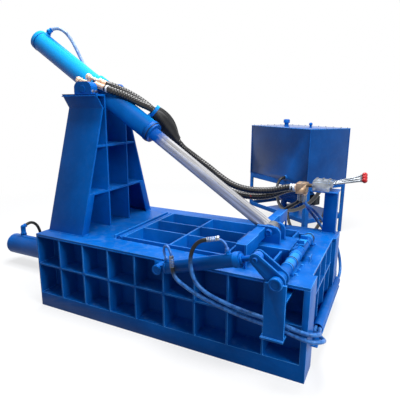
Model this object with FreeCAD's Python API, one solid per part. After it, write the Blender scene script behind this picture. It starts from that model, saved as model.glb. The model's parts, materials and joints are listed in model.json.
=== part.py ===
import FreeCAD, Part
import math
import os

# Scrap metal baler: press box with a hinged top lid, a main ram along the box, a
# turn-out arm for the finished bale, and a separate power unit joined by hoses.
# X runs along the box from the ram cylinder to the turn-out shaft, Y from the operator's
# side to the back, Z up from the floor. All sizes are in millimetres.

os.makedirs("parts", exist_ok=True)
V = FreeCAD.Vector

# ---- press box ---------------------------------------------------------------------
BOX_L = 2290.0            # length of the side walls
BOX_W = 1240.0            # width over the side walls
BOX_H = 655.0             # floor to the top of the deck
DECK_T = 20.0
RIB_T = 14.0
RIB_FIRST = 255.0         # first upright rib from the left end
RIB_PITCH = 250.0
RIB_DEPTH = 170.0         # how far the wall plate is set back behind the ribs
WALL_T = 30.0
SKIRT_H = 123.0           # flat strip along the foot of the side walls
SHELF_Z = 386.0           # middle of the long shelf rib
END_PLATE_T = 40.0        # thick plates at the right-hand corners
RIB_COUNT = int((BOX_L - END_PLATE_T - RIB_FIRST) / RIB_PITCH) + 1
BED_TOP = 60.0            # chamber floor above the ground
BED_T = 30.0
BED_BAR_T = 20.0
BED_BARS = 7
CHAMBER_Y0 = RIB_DEPTH + WALL_T
CHAMBER_Y1 = BOX_W - CHAMBER_Y0
MID_Y = BOX_W / 2

HEAD_WALL_X = 150.0       # plate that the ram cylinder is bolted to
HEAD_WALL_T = 40.0
LEFT_RIB_Y = 200.0        # ribs of the left end, each side of the cylinder
END_WALL_X = BOX_L - 205  # plate that the bale is pressed against
END_WALL_T = 30.0
END_RIBS = 4
END_RIB_PITCH = BOX_W / (END_RIBS + 1)
END_EDGE_X = BOX_L - 28   # outer edge of the right-hand deck and ribs
END_SHELF_Z = 440.0
END_RIB_Z = 148.0
LEDGE_X = BOX_L + 36      # shelf that the hose conduit lies on
LEDGE_T = 12.0

PIT_X0 = 680.0            # opening in the deck
PIT_GAP = 8.0             # deck edge to the wall plate below it
LIP_T = 12.0
LIP_TOP = BOX_H + 30
ROOF_Z = 350.0            # plate over the ram, level with the underside of the lid
ROOF_T = 20.0

# ---- lid -----------------------------------------------------------------------------
LID_HINGE_X = PIT_X0 + 32
LID_HINGE_Z = BOX_H - 5
LID_X0 = LID_HINGE_X + 32
LID_X1 = END_WALL_X - 100    # end of the pressing face
LID_NOSE_X = LID_X1 + 59     # end of the raised middle box
LID_Y0 = CHAMBER_Y0 + 14     # clearance of the lid in the chamber
LID_TOP = BOX_H + 25
LID_BOTTOM = ROOF_Z + 1
LID_PLATE_T = 22.0
LID_RIB_T = 14.0
LID_CROSS_X = (LID_X0 + 431, LID_X1 - 353)
LID_INNER_Y = 123.0       # long ribs each side of the middle
NOSE_Y = 150.0            # half width of the raised middle box
NOSE_TOP = BOX_H + 45
NOSE_T = 16.0
NOSE_BOTTOM = BOX_H - 80
KNUCKLE_R = 27.0
HINGE_PIN_R = 16.0
RUN_FIT = 0.05            # radial clearance of a pin that turns in a bore
KNUCKLE_GAP = 2.0
LEAF_T = 18.0

EAR_PIN_X = LID_X1 - 128
EAR_PIN_Z = NOSE_TOP + 86
EAR_X0 = EAR_PIN_X - 92
EAR_X1 = EAR_PIN_X + 93
EAR_TOP = EAR_PIN_Z + 48
EAR_IN = 55.0             # half the gap between the ears
EAR_T = 25.0
EAR_R = 58.0
CLEVIS_PIN_R = 30.0
BEAM_X0 = EAR_PIN_X - 89
BEAM_X1 = EAR_PIN_X - 25
BEAM_Z0 = NOSE_TOP + 40
BEAM_Z1 = BEAM_Z0 + 82
BEAM_END_Y = 98.0
BEAM_WALL = 8.0
STOP_T = 14.0
STOP_IN_Y = MID_Y - 275
STOP_GAP = 0.5            # the stop plates rest on the deck

# ---- tower -----------------------------------------------------------------------------
TOWER_X0 = 37.0
TOWER_X1 = 409.0
TOWER_FOOT_Y = 110.0      # outer face of the sloping plates at the deck
TOWER_KNEE_Y = MID_Y - 176   # and at the top
TOWER_KNEE_Z = BOX_H + 1035
TOWER_TOP = BOX_H + 1148
TOWER_T = 16.0
TOWER_RIB_Y = 139.0       # inner uprights each side of the middle
TOWER_FLARE_Y = MID_Y - 250  # outer edge of the flared head
TOWER_SHELF_Z = (BOX_H + 323, BOX_H + 720)
TOWER_BACK_X = TOWER_X0 + 83
TOWER_STRIP_W = 78.0      # closing strips at the feet
TOWER_SLOT_Z = BOX_H + 905   # the lid cylinder swings in the slot above this

TRUN_X = TOWER_X0 + 213
TRUN_Z = TOWER_TOP + 43
TRUN_R = 30.0
BLOCK_L = 184.0
BLOCK_Y0 = MID_Y - 228
BLOCK_T = 80.0
BLOCK_RISE = 58.0         # block top above the pin centre

# ---- lid cylinder --------------------------------------------------------------------------
LID_BARREL_R = 90.0
LID_BORE_R = 75.0
LID_ROD_R = 53.0
LID_CAP_S = -840.0        # barrel ends, measured from the trunnion along the cylinder
LID_HEAD_S = 640.0
LID_CAP_T = 50.0
LID_GLAND_L = 90.0
BAND_R = 108.0
BAND_L = 110.0
LID_PISTON_L = 70.0
LID_EYE_R = 58.0
LID_OPEN_DEG = 62.0
LID_DRAWN_DEG = -33.409410   # tilt of the cylinder that its hose points are noted at

# ---- main ram ----------------------------------------------------------------------------------
RAM_Z = 204.0
RAM_BARREL_R = 108.0
RAM_BORE_R = 90.0
RAM_CAP_T = 60.0
RAM_PORT_IN = 170.0       # oil port, from the closed end
RAM_GLAND_L = 80.0
RAM_FLANGE_R = 160.0
RAM_FLANGE_T = 30.0
RAM_ROD_R = 60.0
RAM_PISTON_L = 80.0
HEAD_X0 = 500.0
HEAD_X1 = HEAD_X0 + 238
HEAD_GAP = 3.0            # head to the chamber walls
HEAD_TOP = 346.0
HEAD_T = 40.0
HEAD_RIB_T = 20.0
FLANGE_BOLT_R = 12.0
FLANGE_PITCH_R = 138.0

# ---- turn-out mechanism ----------------------------------------------------------------------------
SHAFT_X = END_WALL_X + 25
SHAFT_Z = BOX_H + 45
SHAFT_R = 26.0
SLEEVE_R = 37.0
SLEEVE_GAP = 2.0
SLEEVE_Y = (115.0, MID_Y - 253, MID_Y + 131, MID_Y + 212)
LEVER_PIN_DX = -140.0
LEVER_PIN_DZ = 115.0
LEVER_T = 14.0
LEVER_Y = -57.0           # middle of the lever, rod and cylinder
LEVER_GAP = 66.0          # clear width between its two plates
LEVER_TIP_R = 38.0
LEVER_HUB_R = 52.0
ARM_X1 = END_WALL_X - 2   # back of the hanging plate, just inside the end wall
ARM_T = 20.0
TRAY_X0 = ARM_X1 - 323
TRAY_T = 20.0
TRAY_GAP = 12.0            # the tray also clears the edges of the deck as it lifts
RAM_STROKE = TRAY_X0 - HEAD_X1 - 32
RAM_CAP_X = HEAD_WALL_X - RAM_GLAND_L - RAM_PISTON_L - RAM_STROKE - RAM_CAP_T - 40
POST_X0 = SHAFT_X - 65
POST_X1 = SHAFT_X + 65
POST_T = 20.0
POST_Y0 = -135.0
POST_BOSS_R = 42.0
POST_ARM_Z = (SHELF_Z - 47, BOX_H - 69)
POST_ARM_T = 14.0
POST_Z0 = POST_ARM_Z[0] - POST_ARM_T / 2
SIDE_PIN_X = SHAFT_X - 848   # rear pin of the turn-out cylinder
SIDE_PIN_Z = BOX_H - 49
SIDE_BARREL_R = 45.0
SIDE_BORE_R = 36.0
SIDE_ROD_R = 19.0
SIDE_PIN_R = 16.0
SIDE_BARREL_S = (62.0, 628.0)
SIDE_GLAND_L = 60.0
SIDE_EYE_R = 34.0
SIDE_EYE_W = 44.0
SIDE_CAP_T = 12.0
BRACKET_DX = 80.0         # small welded bracket on the deck behind the shaft
BRACKET_Y = MID_Y - 220
BRACKET_L = 70.0
BRACKET_H = 46.0
CONDUIT_R = 36.0
CONDUIT_WALL = 4.0
CONDUIT_Y0 = 370.0
CONDUIT_Y1 = BOX_W + 22
CONDUIT_X = BOX_L + 1

# ---- power unit ---------------------------------------------------------------------------------------
UNIT_X = 1665.0           # nearest corner of the tank, and its turn about Z
UNIT_Y = 2870.0
UNIT_TURN = 55.0
TANK_W = 700.0
TANK_L = 1250.0
TANK_Z0 = 706.0
TANK_TOP = 1440.0
TANK_LIP = 5.0
TANK_T = 6.0
TANK_COVER_T = 10.0
LEG_W = 60.0
LEG_T = 8.0
SHELF_RAIL_Z = 260.0      # top of the shelf that carries the motor
MOTOR_R = 140.0
MOTOR_L = 360.0
MOTOR_Y1 = 760.0
MOTOR_Z = 450.0
MOTOR_END_T = 18.0
MOTOR_COWL_L = 50.0
FOOT_W = 44.0
FOOT_L = 50.0
FOOT_IN = 20.0            # feet in from the ends of the fins
FOOT_OUT = 90.0           # middle of a foot to the motor's axis
TERMINAL_W = 110.0
TERMINAL_L = 140.0
TERMINAL_Y = 260.0        # terminal box, from the cowl end
TERMINAL_H = 70.0
MOTOR_FINS = 24
MOTOR_FIN_H = 14.0
BELL_R = 105.0
BELL_L = 90.0
PUMP_W = 110.0
PUMP_L = 120.0
PUMP_H = 120.0
CAPS = ((373.0, 397.0, 24.0, 62.0), (341.0, 861.0, 45.0, 96.0))   # x, y, radius, height

# ---- valve stand --------------------------------------------------------------------------------------
VPOST_X1 = END_EDGE_X - 4
VPOST_X0 = VPOST_X1 - 108
VPOST_Y1 = BOX_W - 12
VPOST_Y0 = VPOST_Y1 - 68
VPOST_TOP = BOX_H + 349
VPOST_T = 10.0
VALVE_X0 = VPOST_X0 - 104
VALVE_X1 = VALVE_X0 + 140
VALVE_Y0 = VPOST_Y0 - 23
VALVE_SECTION = 46.0
VALVE_SECTIONS = 3
VALVE_END = 26.0
VALVE_H = 84.0
LEVER_ROD_R = 6.0
LEVER_ROD_L = 236.0
LEVER_TILTS = (12.0, 15.6, 19.2)
KNOB_R = 22.0

MANIFOLD_X0 = VALVE_X0 - 141    # block that the lid hoses screw into
MANIFOLD_X1 = MANIFOLD_X0 + 85
MANIFOLD_Z0 = VPOST_TOP - 32
MANIFOLD_Z1 = MANIFOLD_Z0 + 90
MANIFOLD_A = (MANIFOLD_X0, VALVE_Y0 + 49, MANIFOLD_Z0 + 48)
MANIFOLD_B = (MANIFOLD_X0, VALVE_Y0 + 107, MANIFOLD_Z0 + 28)

HOSE_R = 13.5             # turn-out cylinder hoses
BIG_HOSE_R = 19.0         # ram and pump hoses
CAP_HOSE_R = 15.0
NECK_R = 9.0              # bent steel tube of the hose ends
SLEEVE_HOSE_R = 57.0      # sleeve round both lid hoses
CLAMP_R = 62.0
CLAMP_L = 26.0
GUARD_R = 25.0            # lid cylinder hoses: guard root and crest, and the hose bore
GUARD_CREST = 29.0
GUARD_BORE = 12.0
GUARD_PITCH = 40.0

SHIFT = V(-BOX_L / 2, -BOX_W / 2, 0)


# ---- helpers --------------------------------------------------------------------------------------------
def box(x0, x1, y0, y1, z0, z1):
    return Part.makeBox(x1 - x0, y1 - y0, z1 - z0, V(x0, y0, z0))


def rod(radius, start, end):
    start, end = V(*start), V(*end)
    return Part.makeCylinder(radius, (end - start).Length, start, end - start)


def ring(outer, inner, start, end):
    return rod(outer, start, end).cut(rod(inner, start, end))


def prism(points, axis, low, high):
    """Extrude a closed outline: (x, z) points along Y, (y, z) along X or (x, y) along Z."""
    put = {"x": lambda p: V(low, p[0], p[1]),
           "y": lambda p: V(p[0], low, p[1]),
           "z": lambda p: V(p[0], p[1], low)}[axis]
    step = {"x": V(high - low, 0, 0), "y": V(0, high - low, 0), "z": V(0, 0, high - low)}[axis]
    corners = [put(p) for p in points]
    face = Part.Face(Part.makePolygon(corners + corners[:1]))
    return face.extrude(step)


def fuse(first, *rest):
    shape = first
    flat = []
    for item in rest:
        flat.extend(item if isinstance(item, (list, tuple)) else [item])
    if flat:
        shape = shape.fuse(flat)
    return shape.removeSplitter()


def mirror_y(shape):
    """The same piece on the other side of the machine's middle plane."""
    return shape.mirror(V(0, MID_Y, 0), V(0, 1, 0))


def along(shape, origin, degrees):
    """Turn a piece built along +X from the world origin up by degrees, then place it."""
    turned = shape.copy()
    turned.rotate(V(0, 0, 0), V(0, 1, 0), -degrees)
    turned.translate(V(*origin))
    return turned


def save(name, shape):
    solids = shape.Solids
    if len(solids) == 1:
        shape = solids[0]
    shape.translate(SHIFT)
    shape.exportStep("parts/" + name + ".step")
    print("%-24s solids %d valid %s volume %.1f cm3" % (
        name, len(solids), shape.isValid(), shape.Volume / 1000))


# ---- side walls --------------------------------------------------------------------------------------------
deck_under = BOX_H - DECK_T
wall = box(0, BOX_L - END_PLATE_T, RIB_DEPTH, CHAMBER_Y0, 0, deck_under)
ribs = [box(x - RIB_T / 2, x + RIB_T / 2, 0, RIB_DEPTH, 0, deck_under)
        for x in [RIB_FIRST + RIB_PITCH * i for i in range(RIB_COUNT)]]
left_flange = box(0, RIB_T, 0, RIB_DEPTH, 0, deck_under)
shelf = box(0, BOX_L - END_PLATE_T, 0, RIB_DEPTH, SHELF_Z - RIB_T / 2, SHELF_Z + RIB_T / 2)
skirt = box(0, BOX_L - END_PLATE_T, 0, RIB_T, 0, SKIRT_H)
skirt_top = box(0, BOX_L - END_PLATE_T, 0, RIB_DEPTH, SKIRT_H - RIB_T, SKIRT_H)
end_plate = box(BOX_L - END_PLATE_T, BOX_L, 0, CHAMBER_Y0, 0, deck_under)
side_wall = fuse(wall, ribs, left_flange, shelf, skirt, skirt_top, end_plate)
near_wall = side_wall.copy()
conduit_z = END_RIB_Z + LEDGE_T + CONDUIT_R
conduit_path = rod(CONDUIT_R + 1, (CONDUIT_X, CHAMBER_Y0, conduit_z), (CONDUIT_X, CONDUIT_Y1, conduit_z))
save("side_wall_far", mirror_y(side_wall).cut(conduit_path))

# outboard bearing post of the turn-out shaft, welded through the near wall's last bay
post_arms = [box(POST_X0, POST_X1, POST_Y0 + POST_T, RIB_DEPTH, z - POST_ARM_T / 2,
                 z + POST_ARM_T / 2) for z in POST_ARM_Z]
post_foot = box(POST_X0 - 14, POST_X1, POST_Y0 - 12, POST_Y0 + POST_T + 20, POST_ARM_Z[0] - POST_ARM_T / 2,
                POST_ARM_Z[0] + POST_ARM_T / 2)
post = fuse(box(POST_X0, POST_X1, POST_Y0, POST_Y0 + POST_T, POST_Z0, SHAFT_Z),
            rod(POST_BOSS_R, (SHAFT_X, POST_Y0 - 14, SHAFT_Z), (SHAFT_X, POST_Y0 + POST_T, SHAFT_Z)),
            post_arms, post_foot)
post = post.cut(rod(SHAFT_R + RUN_FIT, (SHAFT_X, POST_Y0 - 15, SHAFT_Z),
                    (SHAFT_X, POST_Y0 + POST_T + 1, SHAFT_Z)))
save("outboard_post", post)
save("side_wall_near", near_wall)

# ---- bed, end walls, deck -------------------------------------------------------------------------------
bed = box(HEAD_WALL_X + HEAD_WALL_T, END_WALL_X, CHAMBER_Y0, CHAMBER_Y1, BED_TOP - BED_T, BED_TOP)
bar_step = (END_WALL_X - HEAD_WALL_X - HEAD_WALL_T - BED_BAR_T) / (BED_BARS - 1)
bars = [box(HEAD_WALL_X + HEAD_WALL_T + bar_step * i, HEAD_WALL_X + HEAD_WALL_T + bar_step * i + BED_BAR_T,
            CHAMBER_Y0, CHAMBER_Y1, 0, BED_TOP - BED_T) for i in range(BED_BARS)]
save("chamber_bed", fuse(bed, bars))

head_wall = box(HEAD_WALL_X, HEAD_WALL_X + HEAD_WALL_T, CHAMBER_Y0, CHAMBER_Y1, 0, deck_under)
left_ribs = [box(0, HEAD_WALL_X, y - RIB_T / 2, y + RIB_T / 2, 0, deck_under)
             for y in (MID_Y - LEFT_RIB_Y, MID_Y + LEFT_RIB_Y)]
left_shelf = box(0, HEAD_WALL_X, CHAMBER_Y0, CHAMBER_Y1, SHELF_Z - RIB_T / 2, SHELF_Z + RIB_T / 2)
head_wall = fuse(head_wall, left_ribs, left_shelf)
head_wall = head_wall.cut(rod(RAM_ROD_R + 6, (HEAD_WALL_X - 1, MID_Y, RAM_Z),
                              (HEAD_WALL_X + HEAD_WALL_T + 1, MID_Y, RAM_Z)))
save("end_wall_left", head_wall)

end_wall = box(END_WALL_X, END_WALL_X + END_WALL_T, CHAMBER_Y0, CHAMBER_Y1, 0, deck_under)
end_ribs = [box(END_WALL_X + END_WALL_T, END_EDGE_X, y - RIB_T / 2, y + RIB_T / 2, END_RIB_Z, deck_under)
            for y in [END_RIB_PITCH * (i + 1) for i in range(END_RIBS)]]
end_ribs = [rib.cut(conduit_path) for rib in end_ribs]
end_shelf = box(END_WALL_X + END_WALL_T, END_EDGE_X, CHAMBER_Y0, CHAMBER_Y1,
                END_SHELF_Z - RIB_T / 2, END_SHELF_Z + RIB_T / 2)
ledge_in = box(END_WALL_X + END_WALL_T, BOX_L, CHAMBER_Y0, CHAMBER_Y1, END_RIB_Z, END_RIB_Z + LEDGE_T)
ledge_out = box(BOX_L, LEDGE_X, CHAMBER_Y0, BOX_W, END_RIB_Z, END_RIB_Z + LEDGE_T)
save("end_wall_right", fuse(end_wall, end_ribs, end_shelf, ledge_in, ledge_out))

pit_y0 = CHAMBER_Y0 + PIT_GAP
pit_y1 = BOX_W - pit_y0
deck_outline = [(0, 0), (BOX_L, 0), (BOX_L, pit_y0), (END_EDGE_X, pit_y0), (END_EDGE_X, pit_y1),
                (BOX_L, pit_y1), (BOX_L, BOX_W), (0, BOX_W)]
deck = prism(deck_outline, "z", deck_under, BOX_H)
deck = deck.cut(box(PIT_X0, END_WALL_X, pit_y0, pit_y1, deck_under - 1, BOX_H + 1))
lip = box(PIT_X0 - LIP_T, PIT_X0, pit_y0, pit_y1, BOX_H, LIP_TOP)
bracket_x = SHAFT_X + BRACKET_DX
bracket = box(bracket_x, bracket_x + LIP_T, BRACKET_Y, BRACKET_Y + BRACKET_L, BOX_H, BOX_H + BRACKET_H)
save("deck_plate", fuse(deck, lip, bracket))

roof = fuse(box(HEAD_WALL_X + HEAD_WALL_T, PIT_X0, CHAMBER_Y0, CHAMBER_Y1, ROOF_Z, ROOF_Z + ROOF_T),
            box(PIT_X0 - ROOF_T, PIT_X0, CHAMBER_Y0, CHAMBER_Y1, ROOF_Z, deck_under))
save("hopper_back_wall", roof)


# ---- tower ----------------------------------------------------------------------------------------------
def slope_y(z):
    """Outer face of the near sloping plate at height z."""
    return TOWER_FOOT_Y + (TOWER_KNEE_Y - TOWER_FOOT_Y) * (z - BOX_H) / (TOWER_KNEE_Z - BOX_H)


slope_w = TOWER_T * math.hypot(1, (TOWER_KNEE_Y - TOWER_FOOT_Y) / (TOWER_KNEE_Z - BOX_H))
rib_in_y = MID_Y - TOWER_RIB_Y + TOWER_T / 2
flank = prism([(slope_y(BOX_H), BOX_H), (slope_y(BOX_H) + slope_w, BOX_H),
               (slope_y(TOWER_KNEE_Z) + slope_w, TOWER_KNEE_Z), (slope_y(TOWER_KNEE_Z), TOWER_KNEE_Z)],
              "x", TOWER_X0, TOWER_X1)
upright = box(TOWER_X0, TOWER_X1, rib_in_y - TOWER_T, rib_in_y, BOX_H, TOWER_TOP)
flare = prism([(TOWER_KNEE_Y, TOWER_KNEE_Z), (TOWER_KNEE_Y + TOWER_T, TOWER_KNEE_Z),
               (TOWER_FLARE_Y + TOWER_T, TOWER_TOP - TOWER_T), (rib_in_y, TOWER_TOP - TOWER_T),
               (rib_in_y, TOWER_TOP), (TOWER_FLARE_Y, TOWER_TOP)], "x", TOWER_X0, TOWER_X1)
strip = prism([(slope_y(BOX_H), BOX_H), (slope_y(TOWER_SHELF_Z[0]), TOWER_SHELF_Z[0]),
               (slope_y(TOWER_SHELF_Z[0]) + TOWER_STRIP_W, TOWER_SHELF_Z[0]),
               (slope_y(BOX_H) + TOWER_STRIP_W, BOX_H)], "x", TOWER_X1 - TOWER_T, TOWER_X1)
half = fuse(flank, upright, flare, strip)


def shelf_at(z, x0):
    low = slope_y(z) + slope_w / 2
    return box(x0, TOWER_X1, low, BOX_W - low, z - TOWER_T / 2, z + TOWER_T / 2)


shelves = [shelf_at(z, TOWER_BACK_X) for z in TOWER_SHELF_Z]
back_low = slope_y(BOX_H) + slope_w / 2
back_top = slope_y(TOWER_SLOT_Z) + slope_w / 2
back = prism([(back_low, BOX_H), (back_top, TOWER_SLOT_Z), (BOX_W - back_top, TOWER_SLOT_Z),
              (BOX_W - back_low, BOX_H)], "x", TOWER_BACK_X, TOWER_BACK_X + TOWER_T)
tower = fuse(half, mirror_y(half), shelves, back)
save("tower", tower)

block_top = TRUN_Z + BLOCK_RISE
profile = [(TRUN_X - BLOCK_L / 2, TOWER_TOP), (TRUN_X + BLOCK_L / 2, TOWER_TOP),
           (TRUN_X + BLOCK_L / 2, block_top), (TRUN_X - BLOCK_L / 2, block_top)]
block = prism(profile, "y", BLOCK_Y0, BLOCK_Y0 + BLOCK_T)
corner_edges = [e for e in block.Edges
                if abs(e.Vertexes[0].Z - block_top) < 1e-6 and abs(e.Vertexes[1].Z - block_top) < 1e-6
                and abs(e.Vertexes[0].X - e.Vertexes[1].X) < 1e-6]
block = block.makeFillet(BLOCK_RISE * 0.9, corner_edges)
block = block.cut(rod(TRUN_R + RUN_FIT, (TRUN_X, BLOCK_Y0 - 1, TRUN_Z), (TRUN_X, BLOCK_Y0 + BLOCK_T + 1, TRUN_Z)))
save("trunnion_blocks", Part.makeCompound([block, mirror_y(block)]))

# ---- lid -----------------------------------------------------------------------------------------------
lid_y1 = BOX_W - LID_Y0
plate_top = LID_BOTTOM + LID_PLATE_T
lid_plate = box(LID_X0, LID_X1, LID_Y0, lid_y1, LID_BOTTOM, plate_top)
rails = [box(LID_X0, LID_X1, y, y + LID_RIB_T, plate_top, LID_TOP) for y in (LID_Y0, lid_y1 - LID_RIB_T)]
long_ribs = [box(LID_X0, LID_CROSS_X[1], y - LID_RIB_T / 2, y + LID_RIB_T / 2, plate_top, LID_TOP)
             for y in (MID_Y - LID_INNER_Y, MID_Y + LID_INNER_Y)]
cross = [box(x, x + LID_RIB_T, LID_Y0, lid_y1, plate_top, LID_TOP) for x in (LID_X0,) + LID_CROSS_X]
end_rib = box(LID_X1 - LID_RIB_T, LID_X1, LID_Y0, lid_y1, plate_top, LID_TOP)
nose_side = [box(LID_CROSS_X[1], LID_NOSE_X, y, y + NOSE_T, NOSE_BOTTOM, NOSE_TOP - NOSE_T)
             for y in (MID_Y - NOSE_Y, MID_Y + NOSE_Y - NOSE_T)]
nose_web = [box(LID_CROSS_X[1], LID_X1, y, y + NOSE_T, plate_top, NOSE_BOTTOM)
            for y in (MID_Y - NOSE_Y, MID_Y + NOSE_Y - NOSE_T)]
nose_top = box(LID_CROSS_X[1], LID_NOSE_X, MID_Y - NOSE_Y, MID_Y + NOSE_Y, NOSE_TOP - NOSE_T, NOSE_TOP)
nose_floor = box(LID_X1 - LID_RIB_T, LID_NOSE_X, MID_Y - NOSE_Y, MID_Y + NOSE_Y, NOSE_BOTTOM, NOSE_BOTTOM + NOSE_T)
nose_end = box(LID_NOSE_X - NOSE_T, LID_NOSE_X, MID_Y - NOSE_Y, MID_Y + NOSE_Y, NOSE_BOTTOM, NOSE_TOP)
knuckle_ends = [pit_y0 + 4, pit_y0 + 104, MID_Y - 100, MID_Y + 100, pit_y1 - 104, pit_y1 - 4]
hinge_bore = rod(HINGE_PIN_R + RUN_FIT, (LID_HINGE_X, pit_y0, LID_HINGE_Z), (LID_HINGE_X, pit_y1, LID_HINGE_Z))


def knuckle(y0, y1, toward_x):
    """A hinge sleeve with its leaf toward the deck lip or toward the lid."""
    sleeve = rod(KNUCKLE_R, (LID_HINGE_X, y0, LID_HINGE_Z), (LID_HINGE_X, y1, LID_HINGE_Z))
    leaf = box(min(toward_x, LID_HINGE_X), max(toward_x, LID_HINGE_X), y0, y1,
               LID_HINGE_Z - LEAF_T / 2, LID_HINGE_Z + LEAF_T / 2)
    return sleeve.fuse(leaf).cut(hinge_bore)


lid_knuckles = [knuckle(knuckle_ends[1] + KNUCKLE_GAP, knuckle_ends[2] - KNUCKLE_GAP, LID_X0),
                knuckle(knuckle_ends[3] + KNUCKLE_GAP, knuckle_ends[4] - KNUCKLE_GAP, LID_X0)]
deck_knuckles = [knuckle(knuckle_ends[0], knuckle_ends[1], PIT_X0),
                 knuckle(knuckle_ends[2], knuckle_ends[3], PIT_X0),
                 knuckle(knuckle_ends[4], knuckle_ends[5], PIT_X0)]
lid = fuse(lid_plate, rails, long_ribs, cross, end_rib, nose_side, nose_web, nose_top, nose_floor,
           nose_end, lid_knuckles)
save("lid_frame", lid)
save("deck_hinge_knuckles", Part.makeCompound([k.removeSplitter() for k in deck_knuckles]))
save("lid_hinge_pin", rod(HINGE_PIN_R, (LID_HINGE_X, knuckle_ends[0], LID_HINGE_Z),
                          (LID_HINGE_X, knuckle_ends[5], LID_HINGE_Z)))


def ear(y0):
    outline = [(EAR_X0, NOSE_TOP), (EAR_X1, NOSE_TOP), (EAR_X1, EAR_TOP), (EAR_X0, EAR_TOP)]
    plate = prism(outline, "y", y0, y0 + EAR_T)
    tip = [e for e in plate.Edges if abs(e.Vertexes[0].Z - EAR_TOP) < 1e-6
           and abs(e.Vertexes[1].Z - EAR_TOP) < 1e-6 and abs(e.Vertexes[0].X - EAR_X1) < 1e-6
           and abs(e.Vertexes[1].X - EAR_X1) < 1e-6]
    plate = plate.makeFillet(EAR_R, tip)
    return plate.cut(rod(CLEVIS_PIN_R, (EAR_PIN_X, y0 - 1, EAR_PIN_Z), (EAR_PIN_X, y0 + EAR_T + 1, EAR_PIN_Z)))


ear_out_near = MID_Y - EAR_IN - EAR_T
save("clevis_ears", Part.makeCompound([ear(ear_out_near), ear(MID_Y + EAR_IN)]))


def beam_half():
    """Box beam from an ear out over the deck, with the stop plate that lands on the deck."""
    outer = box(BEAM_X0, BEAM_X1, BEAM_END_Y, ear_out_near, BEAM_Z0, BEAM_Z1)
    inner = box(BEAM_X0 + BEAM_WALL, BEAM_X1 - BEAM_WALL, BEAM_END_Y + BEAM_WALL, ear_out_near + 1,
                BEAM_Z0 + BEAM_WALL, BEAM_Z1 - BEAM_WALL)
    foot = BOX_H + STOP_GAP
    stop = prism([(BEAM_END_Y - 6, foot), (BEAM_END_Y + 14, foot), (BEAM_END_Y + 14, BEAM_Z0 - 6),
                  (STOP_IN_Y, BEAM_Z0 - 6), (STOP_IN_Y, BEAM_Z1 + 4), (BEAM_END_Y - 6, BEAM_Z1 + 4)],
                 "x", BEAM_X1, BEAM_X1 + STOP_T)
    return fuse(outer.cut(inner), stop)


save("stop_beams", Part.makeCompound([beam_half(), mirror_y(beam_half())]))
heads = []
for side in (-1, 1):
    inner_y = MID_Y + side * (EAR_IN + 0.5)
    outer_y = MID_Y + side * (EAR_IN + EAR_T)
    stub = rod(CLEVIS_PIN_R, (EAR_PIN_X, inner_y, EAR_PIN_Z), (EAR_PIN_X, outer_y, EAR_PIN_Z))
    tip = rod(EAR_PIN_X - BEAM_X1 - 1, (EAR_PIN_X, outer_y, EAR_PIN_Z), (EAR_PIN_X, outer_y + side * 8, EAR_PIN_Z))
    heads.append(fuse(stub, tip))
save("clevis_pin_heads", Part.makeCompound(heads))

# ---- lid cylinder: built along +X from the trunnion, then tilted ---------------------------------------
lid_dx, lid_dz = EAR_PIN_X - TRUN_X, EAR_PIN_Z - TRUN_Z
LID_REST_L = math.hypot(lid_dx, lid_dz)
LID_REST_DEG = math.degrees(math.atan2(lid_dz, lid_dx))
open_rad = math.radians(LID_OPEN_DEG)
pin_rx, pin_rz = EAR_PIN_X - LID_HINGE_X, EAR_PIN_Z - LID_HINGE_Z
open_x = LID_HINGE_X + pin_rx * math.cos(open_rad) - pin_rz * math.sin(open_rad)
open_z = LID_HINGE_Z + pin_rx * math.sin(open_rad) + pin_rz * math.cos(open_rad)
LID_OPEN_L = math.hypot(open_x - TRUN_X, open_z - TRUN_Z)
LID_SWING_DEG = math.degrees(math.atan2(open_z - TRUN_Z, open_x - TRUN_X)) - LID_REST_DEG
print("lid cylinder: rest %.3f deg, swing %.4f deg, pin distance %.3f to %.3f mm" % (
    LID_REST_DEG, LID_SWING_DEG, LID_REST_L, LID_OPEN_L))

barrel = rod(LID_BARREL_R, (LID_CAP_S, 0, 0), (LID_HEAD_S, 0, 0))
band = rod(BAND_R, (-BAND_L / 2, 0, 0), (BAND_L / 2, 0, 0))
trunnion_len = MID_Y - BLOCK_Y0
trunnions = rod(TRUN_R, (0, -trunnion_len, 0), (0, trunnion_len, 0))
cap_port = rod(24, (LID_CAP_S + 80, 0, 0), (LID_CAP_S + 80, 0, LID_BARREL_R + 16))
head_port = rod(24, (LID_HEAD_S - 60, 0, 0), (LID_HEAD_S - 60, LID_BARREL_R + 16, 0))
barrel = fuse(barrel, band, trunnions, cap_port, head_port)
barrel = barrel.cut(rod(LID_BORE_R, (LID_CAP_S + LID_CAP_T, 0, 0), (LID_HEAD_S + 1, 0, 0)))
barrel = along(barrel, (TRUN_X, MID_Y, TRUN_Z), LID_REST_DEG)


def lid_point(along_s, y, off_n):
    """A point measured along the lid cylinder from its trunnion and square to it."""
    a = math.radians(LID_REST_DEG)
    return (TRUN_X + along_s * math.cos(a) - off_n * math.sin(a), y,
            TRUN_Z + along_s * math.sin(a) + off_n * math.cos(a))


def drawn(*points):
    """Points noted from the trunnion with the cylinder at its drawn tilt, put where it now is."""
    a = math.radians(LID_REST_DEG - LID_DRAWN_DEG)
    return [(TRUN_X + x * math.cos(a) - z * math.sin(a), MID_Y + y,
             TRUN_Z + x * math.sin(a) + z * math.cos(a)) for x, y, z in points]


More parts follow.
